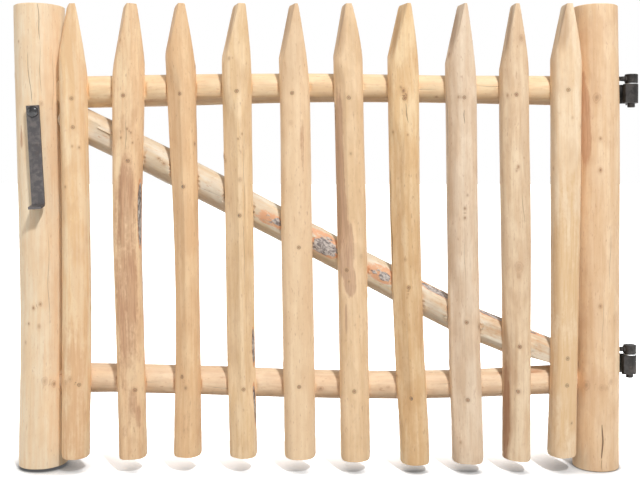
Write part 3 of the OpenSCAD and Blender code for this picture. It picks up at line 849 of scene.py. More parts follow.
# the peeled skin: long ripples left by the drawknife, fine grain, raised knots and open cracks
def buildSkinTree():
    tree, given, out = newGroup(
        "peeledSkin", "GeometryNodeTree",
        {"Geometry": ("g", None), "Ripple": ("f", 0.6 * mm), "Grain": ("f", 0.3 * mm),
         "Knot Rise": ("f", 1.2 * mm), "Crack Depth": ("f", 1.0 * mm), "Seed": ("f", 0.0),
         "Material": ("m", None)},
        {"Geometry": "g"})

    def field(label, kind="FLOAT_VECTOR"):
        named = addNode(tree, "GeometryNodeInputNamedAttribute", {"Name": label}, data_type=kind)
        return named.outputs["Attribute"]

    seed = given["Seed"]
    place = shifted(tree, field("pole"), seed, seed, seed)
    ripple = centred(tree, grainNoise(tree, place, (34, 34, 5.5), 2, 0.5))
    grain = centred(tree, grainNoise(tree, place, (150, 150, 11), 3, 0.55))
    rise = times(tree, ripple, given["Ripple"])
    rise = timesPlus(tree, grain, given["Grain"], rise)
    knotParts = split(tree, field("knot"))
    square = squareSum(tree, knotParts[0], knotParts[1])
    mound = sums(tree, "EXPONENT", times(tree, square, -0.5))
    natural = ease(tree, knotParts[2], 1.6, 1.4)  # a screw raises no mound
    strength = sums(tree, "MINIMUM", knotParts[2], 1.0)
    mound = times(tree, mound, times(tree, natural, strength))
    rise = timesPlus(tree, mound, given["Knot Rise"], rise)
    crackParts = split(tree, field("crack"))
    groove = ease(tree, sums(tree, "ABSOLUTE", crackParts[0]), 2.2, 0.0)
    groove = times(tree, groove, sums(tree, "MINIMUM", crackParts[1], 1.0))
    rise = sums(tree, "SUBTRACT", rise, times(tree, groove, given["Crack Depth"]))
    rise = times(tree, rise, ease(tree, field("sawn", "FLOAT"), 0.9, 0.3))
    normal = addNode(tree, "GeometryNodeInputNormal").outputs["Normal"]
    offset = addNode(tree, "ShaderNodeVectorMath", {0: normal, 3: rise}, operation="SCALE")
    moved = addNode(tree, "GeometryNodeSetPosition",
                    {"Geometry": given["Geometry"], "Offset": offset.outputs[0]}).outputs[0]
    finishTree(tree, moved, given, out)
    return tree


def finishTree(tree, shape, given, out):
    real = addNode(tree, "GeometryNodeRealizeInstances", {0: shape}).outputs[0]
    dressed = addNode(tree, "GeometryNodeSetMaterial",
                      {"Geometry": real, "Material": given["Material"]}).outputs[0]
    tree.links.new(dressed, out["Geometry"])


def applyTree(carrier, tree, inputs):
    # runs a Geometry Nodes tree on an object and keeps the plain mesh it makes
    modifier = carrier.modifiers.new(tree.name, "NODES")
    modifier.node_group = tree
    sockets = {item.name: item.identifier for item in tree.interface.items_tree
               if item.in_out == "INPUT"}
    for label, value in inputs.items():
        modifier[sockets[label]] = value
    carrier.update_tag()
    graph = bpy.context.evaluated_depsgraph_get()
    mesh = bpy.data.meshes.new_from_object(carrier.evaluated_get(graph), depsgraph=graph)
    carrier.modifiers.clear()
    old = carrier.data
    carrier.data = mesh
    bpy.data.meshes.remove(old)
    mesh.name = carrier.name


def softShade(piece, sharp):
    for face in piece.data.polygons:
        face.use_smooth = True
    piece.data.set_sharp_from_angle(angle=math.radians(sharp))


skinTree = buildSkinTree()


def finishWood(piece, node, colours, skin):
    # skin: heights in millimetres, by the peeled skin's own names
    material = groupMaterial(node + "_wood", woodGroup, colours, woodSurface["relief"],
                             woodSurface["shine"])
    heights = {label: value * mm for label, value in skin.items()}
    applyTree(piece, skinTree, {**heights, "Seed": colours["Seed"], "Material": material})
    softShade(piece, 38)
    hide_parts(node)
    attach(piece, "leaf")


def hiddenArc(dice, girth, share):
    # a side on the flanks or the back, at random
    arc = dice.uniform(girth * share, girth * 0.5) * dice.choice((-1, 1))
    return hiddenSide * math.copysign(1, arc) + arc


def strayMarks(seed, build):
    # small knots on the sides and back of a pole, the same ones at each run
    dice = np.random.default_rng(seed)
    marks = []
    for _ in range(build["strayMarks"]):
        side = hiddenArc(dice, build["girth"], 0.22)
        marks.append((side, dice.uniform(0.06, 0.94) * build["length"],
                      dice.uniform(*build["straySizes"]), dice.uniform(0.5, 1)))
    return marks


def strayCracks(seed, build):
    dice = np.random.default_rng(seed)
    cracks = []
    for _ in range(build["strayCracks"]):
        side = hiddenArc(dice, build["girth"], 0.24)
        low = dice.uniform(0, 0.7) * build["length"]
        cracks.append((side, low, side + dice.uniform(-3, 3),
                       low + dice.uniform(0.1, 0.3) * build["length"], dice.uniform(0.3, 0.8)))
    return cracks


def buildPole(name, look, seed, build):
    # a stile, rail or brace
    build = {**build, "girth": math.pi * look["size"]}
    piece = roundPole(name, look, look["marks"] + strayMarks(seed, build),
                      look["cracks"] + strayCracks(seed, build), look["patches"])
    finishWood(piece, name, look["colours"], build["skin"])
    return len(piece.data.polygons)


# stiles: the leaf's two thick upright poles. In all lists of wood a side is counted from the
# middle of the front and a height from the pole's start, in millimetres:
# marks: side, height, size, strength; cracks: side and height at both ends, width
# patches: kind, side, height, half its width, half its height, strength
# flats: turn from the front in degrees, distance from the middle, from and to a height, fade
stiles = {
    "latch_stile": {
        "lies": "upright", "size": 78, "margin": 3, "around": 132, "pitch": 2.6, "sockets": 90,
        "seed": 31,
        "colours": {"Pale": (254, 233, 201), "Warm": (250, 220, 181), "Tan": (233, 197, 157),
                    "Seed": 3.1, "Streaks": 0.55, "Blotches": 0.35, "Flecks": 0.35},
        "marks": [(13, 143, 5, 0.5), (6, 268, 3, 0.8), (-6, 262, 2.5, 0.9), (4, 232, 3, 0.6),
                  (-14, 236, 2, 0.8),
                  (25, 137, 4, 0.8), (-23, 690, 2, 0.6), (-20, 205, 2.5, 0.5), (-7, 585, 2.6, 0.4),
                  (13, 590, 3.2, 0.5)],
        "cracks": [(10, 752, 13, 690, 0.5), (13, 690, 13, 600, 0.25), (-8, 674, -1, 590, 0.45),
                   (18, 400, 18, 215, 0.25), (31, 700, 27, 560, 0.2)],
        "patches": [("stain", -23, 535, 3, 26, 0.8), ("shade", 30, 400, 20, 400, 0.35),
                    ("stain", -30, 60, 6, 50, 0.3)],
        "flats": []},
    "hinge_stile": {
        "lies": "upright", "size": 72, "margin": 3, "around": 124, "pitch": 2.6, "sockets": 270,
        "seed": 117,
        "colours": {"Pale": (250, 220, 183), "Warm": (241, 205, 163), "Tan": (221, 180, 140),
                    "Stain": (206, 158, 124), "Seed": 11.7, "Streaks": 0.6, "Blotches": 0.5,
                    "Flecks": 0.5},
        "marks": [(-10, 604, 6, 0.7), (-6, 539, 2.5, 0.8), (-5, 488, 2.8, 0.95), (-25, 139, 6, 0.6),
                  (-4, 137, 4, 0.5), (5, 137, 3, 0.4), (12, 146, 3.5, 0.4), (-6, 269, 3, 0.8)],
        "cracks": [(-2, 78, -1, 14, 1.2), (-2, 300, -1, 180, 0.2), (-1, 22, 0, 0, 0.4),
                   (12, 400, 10, 300, 0.25), (20, 300, 19, 200, 0.2)],
        "patches": [("stain", -26, 560, 11, 80, 0.9), ("stain", -28, 625, 6, 30, 0.7)],
        "flats": []}}

stileBuild = {"length": 751, "strayMarks": 10, "straySizes": (2.5, 5), "strayCracks": 4,
              "skin": {"Ripple": 1.0, "Grain": 0.35, "Knot Rise": 1.1, "Crack Depth": 0.9}}
faces = [buildPole(name, look, look["seed"], stileBuild)
         for name, look in stiles.items()]
print("stiles built:", faces)


# rails and brace: thinner poles between the stiles, with flats hewn for the pickets
def whittled(reach, begin):
    # the front of an end, cut down on three sides to pass behind the last picket
    return [(turn, reach, begin, 1000, 7) for turn in (-50, 0, 50)]


rails = {
    "top_rail": {
        "lies": "level", "size": 49, "margin": 30, "around": 92, "pitch": 2.7, "sockets": None,
        "seed": 1,
        "colours": {"Pale": (247, 223, 185), "Warm": (242, 211, 168), "Tan": (221, 184, 145),
                    "Seed": 21.3, "Streaks": 0.85, "Blotches": 0.4, "Flecks": 0.45},
        "marks": [(-10, 116, 3, 0.8), (-6, 300, 2.2, 0.7), (-14, 640, 2.2, 0.7),
                  (4, 560, 2.5, 0.5)],
        "cracks": [(2, 380, 4, 450, 0.25), (-2, 560, -3, 640, 0.3), (5, 700, 4, 770, 0.25),
                   (-6, 480, -6, 530, 0.25)],
        # the first patch is painted shade on the hewn underside flat
        "patches": [("shade", hiddenSide + 27, 560, 11, 360, 0.6), ("stain", -18, 170, 6, 60, 0.5),
                    ("stain", -14, 345, 4, 35, 0.35)],
        "flats": [(-63, 22.0, 215, 910, 50)] + whittled(14, 867)},
    "bottom_rail": {
        "lies": "level", "size": 48.5, "margin": 30, "around": 92, "pitch": 2.7, "sockets": None,
        "seed": 2,
        "colours": {"Pale": (247, 222, 190), "Warm": (240, 209, 173), "Tan": (219, 184, 151),
                    "Seed": 33.9, "Streaks": 0.7, "Blotches": 0.45, "Flecks": 0.6},
        "marks": [(-2, 450, 4, 0.8), (6, 120, 2.5, 0.8), (2, 560, 2.5, 0.5)],
        "cracks": [(3, 130, 2, 190, 0.25), (-4, 260, -5, 330, 0.25), (6, 640, 7, 700, 0.25)],
        "patches": [("stain", 19, 775, 7, 45, 0.8), ("stain", 14, 700, 6, 30, 0.35)],
        "flats": [(-76, 22.4, 60, 860, 60), (62, 22.6, 705, 850, 30)] + whittled(11, 866)},
    "diagonal_brace": {
        "lies": "sloping", "size": 51.5, "margin": 150, "around": 96, "pitch": 2.7, "sockets": None,
        "seed": 3,
        "colours": {"Pale": (232, 222, 204), "Warm": (228, 207, 175), "Tan": (208, 181, 148),
                    "Stain": (206, 162, 124), "Inner Bark": (226, 168, 128),
                    "Bark": (132, 122, 119),
                    "Bark Light": (212, 202, 194), "Bark Dark": (70, 58, 54),
                    "Seed": 47.5, "Streaks": 0.45, "Blotches": 0.55, "Flecks": 0.8},
        "marks": [(10, 92, 3.2, 0.9), (6, 176, 2.6, 0.9), (2, 187, 3, 0.9), (-12, 330, 3, 0.5)],
        "cracks": [(-6, 240, -4, 320, 0.25), (-8, 600, -10, 690, 0.3)],
        "patches": [("bark", -3, 381, 16, 28, 0.42), ("bark", 3, 398, 7, 13, 0.95),
                    ("bark", 0, 481, 17, 27, 1.0), ("bark", 17, 470, 9, 30, 0.46),
                    ("bark", -10, 470, 14, 32, 0.42),
                    ("bark", 3, 578, 20, 27, 0.46), ("bark", 4, 588, 8, 12, 1.0),
                    ("bark", 23, 680, 8, 40, 0.95), ("bark", 24, 790, 7, 90, 0.9),
                    ("stain", 0, 800, 40, 210, 0.4)],
        "flats": [(0, 23, 8, 66, 2), (0, 23, 97, 154, 2), (0, 23, 766, 823, 2),
                  (0, 23, 857, 914, 2)] + whittled(14, 920)}}

railBuild = {"length": 900, "strayMarks": 8, "straySizes": (1.8, 3.6), "strayCracks": 3,
             "skin": {"Ripple": 1.0, "Grain": 0.4, "Knot Rise": 0.9, "Crack Depth": 0.7}}
faces = [buildPole(name, look, look["seed"], railBuild)
         for name, look in rails.items()]
print("rails and brace built:", faces)

# pickets, from the latch side; a screw is a side and a height
picketBuild = {
    "front": 58, "back": 20, "pitch": 3.0, "pointFrom": 560, "screwSize": 2.9,
    # bevel: a shade patch painting shade on each point's left bevel, faint on the first pickets
    "bevel": ("shade", -8, 694, 11, 46), "bevelPaintedShade": 0.85, "faintBevelPaintedShade": 0.2, "faintBevelShadeCount": 3,
    "length": 729, "girth": 110, "strayMarks": 4, "straySizes": (1.8, 4), "strayCracks": 2,
    "colours": {"Stain": (192, 146, 114), "Blotches": 0.45, "Flecks": 0.5},
    "skin": {"Ripple": 1.1, "Grain": 0.45, "Knot Rise": 0.9, "Crack Depth": 0.7}}
pickets = [
    {"colours": {"Pale": (254, 226, 186), "Warm": (246, 207, 158), "Tan": (228, 184, 140),
                 "Streaks": 0.4, "Stain": (229, 184, 141)},
     "screws": [(2, 578), (4, 532), (10, 120)],
     "marks": [(13, 500, 2, 0.8), (-10, 437, 2, 0.9), (2, 502, 1.8, 0.7), (-4, 130, 3.5, 0.6),
               (-12, 124, 3, 0.6)],
     "cracks": [], "patches": [("stain", 0, 80, 32, 210, 0.6)], "flats": []},
    {"colours": {"Pale": (254, 224, 182), "Warm": (243, 205, 161), "Tan": (214, 170, 130),
                 "Streaks": 0.7},
     "screws": [(-4, 583), (5, 479), (10, 112)],
     "marks": [(-9, 671, 2, 0.7), (3, 530, 1.6, 0.8), (9, 524, 1.6, 0.8), (-6, 516, 1.6, 0.8),
               (12, 508, 1.5, 0.8)],
     "cracks": [(1, 545, 1, 495, 0.35)],
     "patches": [("stain", 0, 290, 26, 220, 0.66), ("stain", 2, 405, 18, 110, 0.7),
                 ("stain", 7, 290, 12, 60, 0.7), ("stain", 2, 540, 16, 26, 0.35),
                 ("shade", -8, 400, 4, 75, 0.8),
                 ("stain", 6, 92, 9, 34, 0.72), ("stain", 13, 68, 7, 24, 0.7),
                 ("stain", 2, 66, 10, 26, 0.45), ("stain", -7, 46, 7, 18, 0.45),
                 ("bark", 22, 392, 8, 60, 1.0), ("bark", 24, 285, 4.5, 80, 1.0)],
     "flats": []},
    {"colours": {"Pale": (246, 211, 167), "Warm": (236, 195, 149), "Tan": (218, 175, 133),
                 "Streaks": 0.35},
     "screws": [(0, 583), (1, 435), (-7, 130)], "marks": [(0, 113, 2.6, 0.8), (-9, 128, 2, 0.5)],
     "cracks": [], "patches": [("stain", 4, 60, 12, 30, 0.3)], "flats": [(-40, 20.6, 60, 640, 60)]},
    {"colours": {"Pale": (253, 224, 184), "Warm": (240, 206, 160), "Tan": (221, 183, 140),
                 "Streaks": 0.6},
     "screws": [(1, 588), (3, 390), (5, 112)],
     "marks": [(5, 447, 3, 0.55), (-8, 640, 2.4, 0.6), (9, 520, 1.8, 0.8), (3, 512, 1.6, 0.8)],
     "cracks": [(12, 560, 8, 240, 0.3)],
     "patches": [("bark", 21, 175, 4, 34, 0.95), ("bark", 21, 85, 4.5, 40, 0.95),
                 ("stain", -8, 500, 10, 40, 0.3)],
     "flats": [(57, 21.6, 60, 640, 60), (-40, 20.6, 80, 600, 60)]},
    {"colours": {"Pale": (252, 223, 185), "Warm": (245, 213, 173), "Tan": (229, 191, 150),
                 "Streaks": 0.5},
     "screws": [(-3, 587), (3, 341), (0, 118)], "marks": [(-6, 540, 3.5, 0.35)],
     "cracks": [],
     "patches": [("stain", 9, 530, 2.6, 60, 0.45), ("shade", 0, 670, 26, 90, 0.35),
                 ("stain", -4, 620, 10, 40, 0.3), ("stain", 12, 500, 3, 60, 0.6)],
     "flats": []},
    {"colours": {"Pale": (248, 217, 178), "Warm": (240, 205, 162), "Tan": (216, 180, 138),
                 "Streaks": 0.5, "Stain": (194, 154, 126)},
     "screws": [(-1, 583), (-10.5, 308), (-1, 114)],
     "marks": [(0, 494, 2.2, 0.7), (14, 330, 3, 0.4), (-7, 290, 2, 0.8)],
     "cracks": [],
     "patches": [("stain", -17, 505, 11, 110, 1.0), ("stain", -16, 400, 14, 80, 1.0),
                 ("stain", -10, 335, 16, 62, 1.0),
                 ("stain", -12, 232, 2.5, 32, 0.9), ("stain", -5, 290, 12, 30, 1.0),
                 ("shade", -20, 420, 5, 190, 0.5)],
     "flats": [(-46, 21.6, 330, 640, 40), (-30, 25.6, 250, 400, 40)]},
    {"colours": {"Pale": (254, 225, 181), "Warm": (241, 203, 153), "Tan": (219, 175, 126),
                 "Streaks": 0.5},
     "screws": [(0, 588), (1, 286), (-4, 108)],
     "marks": [(-2, 600, 3.4, 0.9), (3, 593, 2, 0.8), (-6, 606, 1.8, 0.7), (-4, 331, 2.5, 0.6),
               (-1, 276, 1.6, 0.7), (-3, 270, 1.4, 0.6), (-18, 535, 2, 0.7), (4, 530, 1.6, 0.7)],
     "cracks": [(1, 582, 5, 548, 0.5)],
     "patches": [("stain", -6, 470, 12, 70, 0.25), ("shade", 0, 230, 36, 340, 0.42)],
     "flats": [(-42, 20.8, 60, 560, 60)]},
    {"colours": {"Pale": (246, 224, 197), "Warm": (234, 206, 175), "Tan": (210, 180, 149),
                 "Streaks": 0.6},
     "screws": [(1, 587), (0, 229), (-2, 104)],
     "marks": [(-8, 588, 2.4, 0.8), (0, 411, 2.2, 0.9), (0, 396, 2, 0.9), (-14, 35, 2.5, 0.7),
               (4, 432, 1.8, 0.6)],
     "cracks": [(1, 568, 1, 545, 0.5), (0, 372, -1, 290, 0.2)],
     "patches": [("shade", -16, 350, 9, 330, 0.35), ("stain", 21, 440, 2.5, 60, 0.6)],
     "flats": [(-34, 23.8, 20, 330, 60)]},
    {"colours": {"Pale": (247, 222, 188), "Warm": (233, 202, 165), "Tan": (209, 172, 137),
                 "Streaks": 0.6},
     "screws": [(-1, 587), (0, 185), (-3, 113)],
     "marks": [(8, 677, 4, 0.6), (0, 472, 2.4, 0.8), (-3, 466, 1.8, 0.6), (-14, 586, 2, 0.7),
               (-1, 312, 7, 0.5), (-1, 298, 3, 0.5)],
     "cracks": [(6, 430, 10, 380, 0.3)],
     # painted shade, with a brown stain, on the hewn flat at the foot's left side
     "patches": [("shade", -17, 80, 11, 150, 1.0), ("stain", -17, 60, 9, 130, 0.75),
                 ("shade", 12, 380, 14, 200, 0.3)],
     "flats": [(-53, 19.6, -20, 225, 70)]},
    {"colours": {"Pale": (254, 230, 197), "Warm": (246, 215, 176), "Tan": (224, 189, 150),
                 "Streaks": 0.55, "Stain": (230, 193, 146)},
     "screws": [(-3, 589), (-1, 160), (0, 117)],
     "marks": [(9, 56, 2.2, 0.9), (-22, 464, 2.6, 0.6), (4, 545, 2, 0.5), (2, 300, 3, 0.3)],
     "cracks": [],
     # the shade patch is painted shade along the lower left side
     "patches": [("bark", -24, 344, 3, 20, 0.85), ("shade", -23, 120, 3, 130, 0.8),
                 ("stain", 0, 225, 40, 270, 0.7)],
     "flats": []}]


def screwPlaces(piece, rows, screws):
    # where each screw meets the skin, and which way the skin faces there
    skin = BVHTree.FromObject(piece, bpy.context.evaluated_depsgraph_get())
    places = []
    for side, height in screws:
        row = int(np.abs(rows["pole"][:, 0, 2] - height * mm).argmin())
        points, across = rows["points"][row], rows["pole"][row, :, 0]
        x = float(points[:, 0].mean() + side * mm - across.mean())
        start = Vector((x, -0.2, float(points[0, 2])))
        places.append(skin.ray_cast(start, Vector((0, 1, 0)), 0.4)[:2])
    return places


screwSpots = []
faces = 0
for number, look in enumerate(pickets, 1):
    name, seed = "picket_%d" % number, 60 + 7 * number
    marks = look["marks"] + [(side, height, picketBuild["screwSize"], screwStrength)
                             for side, height in look["screws"]]
    marks += strayMarks(seed, picketBuild)
    cracks = look["cracks"] + strayCracks(seed, picketBuild)
    # painted shade on the left bevel of the point
    bevelPaintedShade = picketBuild["faintBevelPaintedShade" if number <= picketBuild["faintBevelShadeCount"] else "bevelPaintedShade"]
    patches = look["patches"] + [(*picketBuild["bevel"], bevelPaintedShade)]
    piece, rows = halfPole(name, picketBuild, marks, cracks, patches, look["flats"])
    finishWood(piece, name,
               {**picketBuild["colours"], **look["colours"], "Seed": seed / 3},
               picketBuild["skin"])
    screwSpots += screwPlaces(piece, rows, look["screws"])
    faces += len(piece.data.polygons)
print("pickets built:", faces, "faces")


# metal finishes, with noises as in the wood finish
metalNoises = {"scale": ((90, 90, 90), 4, 0.6), "fine": ((900, 900, 900), 3, 0.6),
               "rub": ((60, 60, 700), 3, 0.6), "rust": ((55, 55, 55), 5, 0.7)}
metalRelief = 0.7
metalLooks = {
    "blackBar": {"finish": {"Base": (76, 73, 74), "Light": (112, 105, 101), "Wear": 0.5,
                            "Rusting": 0.15, "Gloss": 0.5, "Seed": 2.0},
                 "metallic": 0.3, "shine": 0.4},
    "blackHinge": {"finish": {"Base": (44, 42, 41), "Light": (74, 70, 68), "Wear": 0.4,
                              "Rusting": 0.3, "Gloss": 0.48, "Seed": 5.0},
                   "metallic": 0.3, "shine": 0.2},
    "blackBolt": {"finish": {"Base": (34, 33, 34), "Light": (84, 82, 82), "Wear": 0.25,
                             "Rusting": 0.05, "Gloss": 0.24, "Seed": 3.0},
                  "metallic": 0.35, "shine": 0.5},
    "zincPlate": {"finish": {"Base": (186, 188, 190), "Light": (222, 223, 224),
                             "Rust": (160, 156, 148), "Wear": 0.4, "Rusting": 0.2,
                             "Gloss": 0.36, "Seed": 8.0},
                  "metallic": 0.9, "shine": 0.5},
    "dullScrew": {"finish": {"Base": (120, 106, 92), "Light": (164, 148, 130), "Wear": 0.5,
                             "Rusting": 0.5, "Gloss": 0.5, "Seed": 9.0},
                  "metallic": 0.6, "shine": 0.5}}


def buildMetalGroup():
    tree, given, out = newGroup(
        "wornMetal", "ShaderNodeTree",
        {"Base": ("c", paint(84, 80, 77)), "Light": ("c", paint(120, 114, 109)),
         "Rust": ("c", paint(92, 70, 52)), "Wear": ("f", 0.5), "Rusting": ("f", 0.3),
         "Gloss": ("f", 0.45), "Seed": ("f", 0.0)},
        {"Color": "c", "Roughness": "f", "Height": "f"})
    place = addNode(tree, "ShaderNodeTexCoord").outputs["Object"]
    place = shifted(tree, place, given["Seed"], given["Seed"], 0.0)
    worn = addNode(tree, "ShaderNodeAttribute", attribute_name="worn").outputs["Fac"]
    noise = {label: grainNoise(tree, place, *values) for label, values in metalNoises.items()}
    scale = noise["scale"]
    colour = mixed(tree, times(tree, ease(tree, scale, 0.42, 0.66), 0.45), given["Base"],
                   given["Light"])
    rust = times(tree, ease(tree, noise["rust"], 0.56, 0.68), given["Rusting"])
    colour = mixed(tree, rust, colour, given["Rust"])
    edge = ease(tree, timesPlus(tree, centred(tree, scale), 0.9, worn), 0.45, 0.75)
    edge = times(tree, edge, given["Wear"])
    rubbed = times(tree, ease(tree, noise["rub"], 0.62, 0.74), times(tree, given["Wear"], 0.4))
    colour = mixed(tree, sums(tree, "MAXIMUM", edge, rubbed), colour, given["Light"])
    tree.links.new(colour, out["Color"])
    gloss = timesPlus(tree, scale, 0.24, sums(tree, "SUBTRACT", given["Gloss"], 0.12))
    gloss = timesPlus(tree, rust, 0.3, gloss)
    tree.links.new(timesPlus(tree, edge, -0.1, gloss), out["Roughness"])
    height = timesPlus(tree, noise["fine"], 0.05, times(tree, scale, 0.12))
    tree.links.new(timesPlus(tree, rust, 0.08, height), out["Height"])
    return tree


metalGroup = buildMetalGroup()
metals = {name: groupMaterial(name, metalGroup, look["finish"], metalRelief, look["shine"],
                              look["metallic"])
          for name, look in metalLooks.items()}
print("metal finishes built")


# a screw head with a six-lobed recess, set out by Geometry Nodes
screwHead = {"radius": 2.6, "recess": 1.2, "taper": 0.86, "lobe": 0.25, "deep": 1.2, "foot": 1.6,
             "sunk": 0.25, "rim": 0.35, "around": 24, "spin": 1.05, "seed": 4}


def buildScrewTree(values):
    tree, given, out = newGroup(
        "screwHeads", "GeometryNodeTree",
        {"Geometry": ("g", None), "Head": ("o", None), "Seed": ("i", values["seed"]),
         "Spin": ("f", values["spin"]), "Material": ("m", None)},
        {"Geometry": "g"})
    facing = addNode(tree, "GeometryNodeInputNamedAttribute", {"Name": "facing"},
                     data_type="FLOAT_VECTOR").outputs[0]
    aim = addNode(tree, "FunctionNodeAlignRotationToVector", {"Vector": facing},
                  axis="Z").outputs[0]
    spin = addNode(tree, "FunctionNodeRandomValue", {2: 0.0, 3: given["Spin"],
                                                     "Seed": given["Seed"]},
                   data_type="FLOAT").outputs[1]
    turn = addNode(tree, "ShaderNodeCombineXYZ", {2: spin}).outputs[0]
    turn = addNode(tree, "FunctionNodeEulerToRotation", {0: turn}).outputs[0]
    aim = addNode(tree, "FunctionNodeRotateRotation", {"Rotation": aim, "Rotate By": turn},
                  rotation_space="LOCAL").outputs[0]
    head = addNode(tree, "GeometryNodeObjectInfo", {"Object": given["Head"]}).outputs["Geometry"]
    placed = addNode(tree, "GeometryNodeInstanceOnPoints",
                     {"Points": given["Geometry"], "Instance": head, "Rotation": aim}).outputs[0]
    finishTree(tree, placed, given, out)
    return tree


def joinRings(shape, one, two):
    for j in range(len(one)):
        k = (j + 1) % len(one)
        shape.faces.new((one[j], one[k], two[k], two[j]))


def buildScrewHead(values):
    # rings from the foot up over the rim and down into the recess: radius, height, lobe
    radius, rim, recess, lobe = [values[label] for label in ("radius", "rim", "recess", "lobe")]
    shape = bmesh.new()
    around = values["around"]
    rings = []
    for ringRadius, height, ringLobe in (
            (radius, -values["foot"], 0), (radius, -rim, 0), (radius - rim, 0, 0),
            (recess + 0.35, 0.05, lobe * 0.7), (recess, -0.15, lobe),
            (recess * values["taper"], -values["deep"], lobe)):
        ring = []
        for j in range(around):
            t = 2 * math.pi * j / around
            r = ringRadius + ringLobe * math.cos(6 * t)
            spot = (r * math.cos(t) * mm, r * math.sin(t) * mm, (height - values["sunk"]) * mm)
            ring.append(shape.verts.new(spot))
        rings.append(ring)
    for one, two in zip(rings, rings[1:]):
        joinRings(shape, one, two)
    for ring, height in ((rings[0], -values["foot"]), (rings[-1], -values["deep"])):
        heart = shape.verts.new((0, 0, (height - values["sunk"]) * mm))
        for j in range(around):
            shape.faces.new((ring[j], ring[(j + 1) % around], heart))
    bmesh.ops.recalc_face_normals(shape, faces=shape.faces)
    mesh = bpy.data.meshes.new("screwHead")
    shape.to_mesh(mesh)
    shape.free()
    head = bpy.data.objects.new("screwHead", mesh)
    scene.collection.objects.link(head)
    return head


def buildScrews():
    head = buildScrewHead(screwHead)
    mesh = bpy.data.meshes.new("picket_screws")
    mesh.from_pydata([tuple(place) for place, normal in screwSpots], [], [])
    setField(mesh, "facing", np.array([tuple(normal) for place, normal in screwSpots]))
    screws = bpy.data.objects.new("picket_screws", mesh)
    scene.collection.objects.link(screws)
    applyTree(screws, buildScrewTree(screwHead),
              {"Head": head, "Seed": screwHead["seed"], "Spin": screwHead["spin"],
               "Material": metals["dullScrew"]})
    bpy.data.objects.remove(head)
    softShade(screws, 32)
    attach(screws, "leaf")


buildScrews()
print("screws set:", len(screwSpots))


# turned hardware: profiles of (radius, height) in millimetres about an axis
def turnedPart(shape, profile, base, way, around, ring=False, thread=None):
    way = Vector(way).normalized()
    first = way.orthogonal().normalized()
    second = way.cross(first)
    rows = []
    for radius, height in profile:
        row = []
        for j in range(around):
            t = 2 * math.pi * j / around
            r = radius
            if thread and thread["from"] < height < thread["to"]:
                wave = (height / thread["pitch"] + j / around) % 1
                r -= thread["deep"] * abs(2 * wave - 1)
            out = (first * math.cos(t) + second * math.sin(t)) * r
            row.append(shape.verts.new(Vector(base) * mm + (way * height + out) * mm))
        rows.append(row)
    for one, two in list(zip(rows, rows[1:])) + ([(rows[-1], rows[0])] if ring else []):
        joinRings(shape, one, two)
    if not ring:
        shape.faces.new(rows[0])
        shape.faces.new(rows[-1])


def rounded(outer, low, high, bevel, steps=3):
    # straight side with rounded edges, as a profile
    turns = [math.pi / 2 * i / steps for i in range(steps + 1)]
    spots = [(outer - bevel + bevel * math.sin(t), low + bevel - bevel * math.cos(t))
             for t in turns]
    return spots + [(outer - bevel + bevel * math.cos(t), high - bevel + bevel * math.sin(t))
                    for t in turns]


def hollowed(outer, tall, bevel, bore, chamfer):
    # the closed profile of a short tube: rounded outside, chamfered bore
    return rounded(outer, 0, tall, bevel) + [(bore + chamfer, tall), (bore, tall - chamfer),
                                             (bore, chamfer), (bore + chamfer, 0)]


def wearField(mesh, reach=0.5):
    # 1 at sharp outer edges, 0 on flats and in hollows; reach is the sharpest angle's size
    shape = bmesh.new()
    shape.from_mesh(mesh)
    values = []
    for vert in shape.verts:
        angles = [edge.calc_face_angle_signed(0) for edge in vert.link_edges
                  if len(edge.link_faces) == 2]
        values.append(min(1, max(0, max(angles, default=0) / reach)))
    shape.free()
    setField(mesh, "worn", np.array(values))


def finishMetal(name, shape, node, body, material, sharp=35):
    bmesh.ops.recalc_face_normals(shape, faces=shape.faces)
    mesh = bpy.data.meshes.new(name)
    shape.to_mesh(mesh)
    shape.free()
    wearField(mesh)
    mesh.materials.append(material)
    made = bpy.data.objects.new(name, mesh)
    scene.collection.objects.link(made)
    softShade(made, sharp)
    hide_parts(node)
    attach(made, body)


def boxOf(node):
    # middle, low and high corner in millimetres
    low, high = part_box(node)
    return (low + high) / 2 / mm, low / mm, high / mm


# hinges
washer = {"outer": 10.5, "inner": 6.15, "bevel": 0.35, "around": 56}
pin = {"radius": 6, "bevel": 1.0, "around": 48}
eyeBolt = {"eye": 10.5, "bore": 6.06, "height": 14.8, "bevel": 1.1, "chamfer": 0.5, "around": 56,
           "shank": 4, "shankStart": 2.2, "weld": 5.6, "shankAround": 28,
           "thread": {"from": 7.5, "pitch": 1.25, "deep": 0.55}, "threadStep": 0.32}
up = (0, 0, 1)

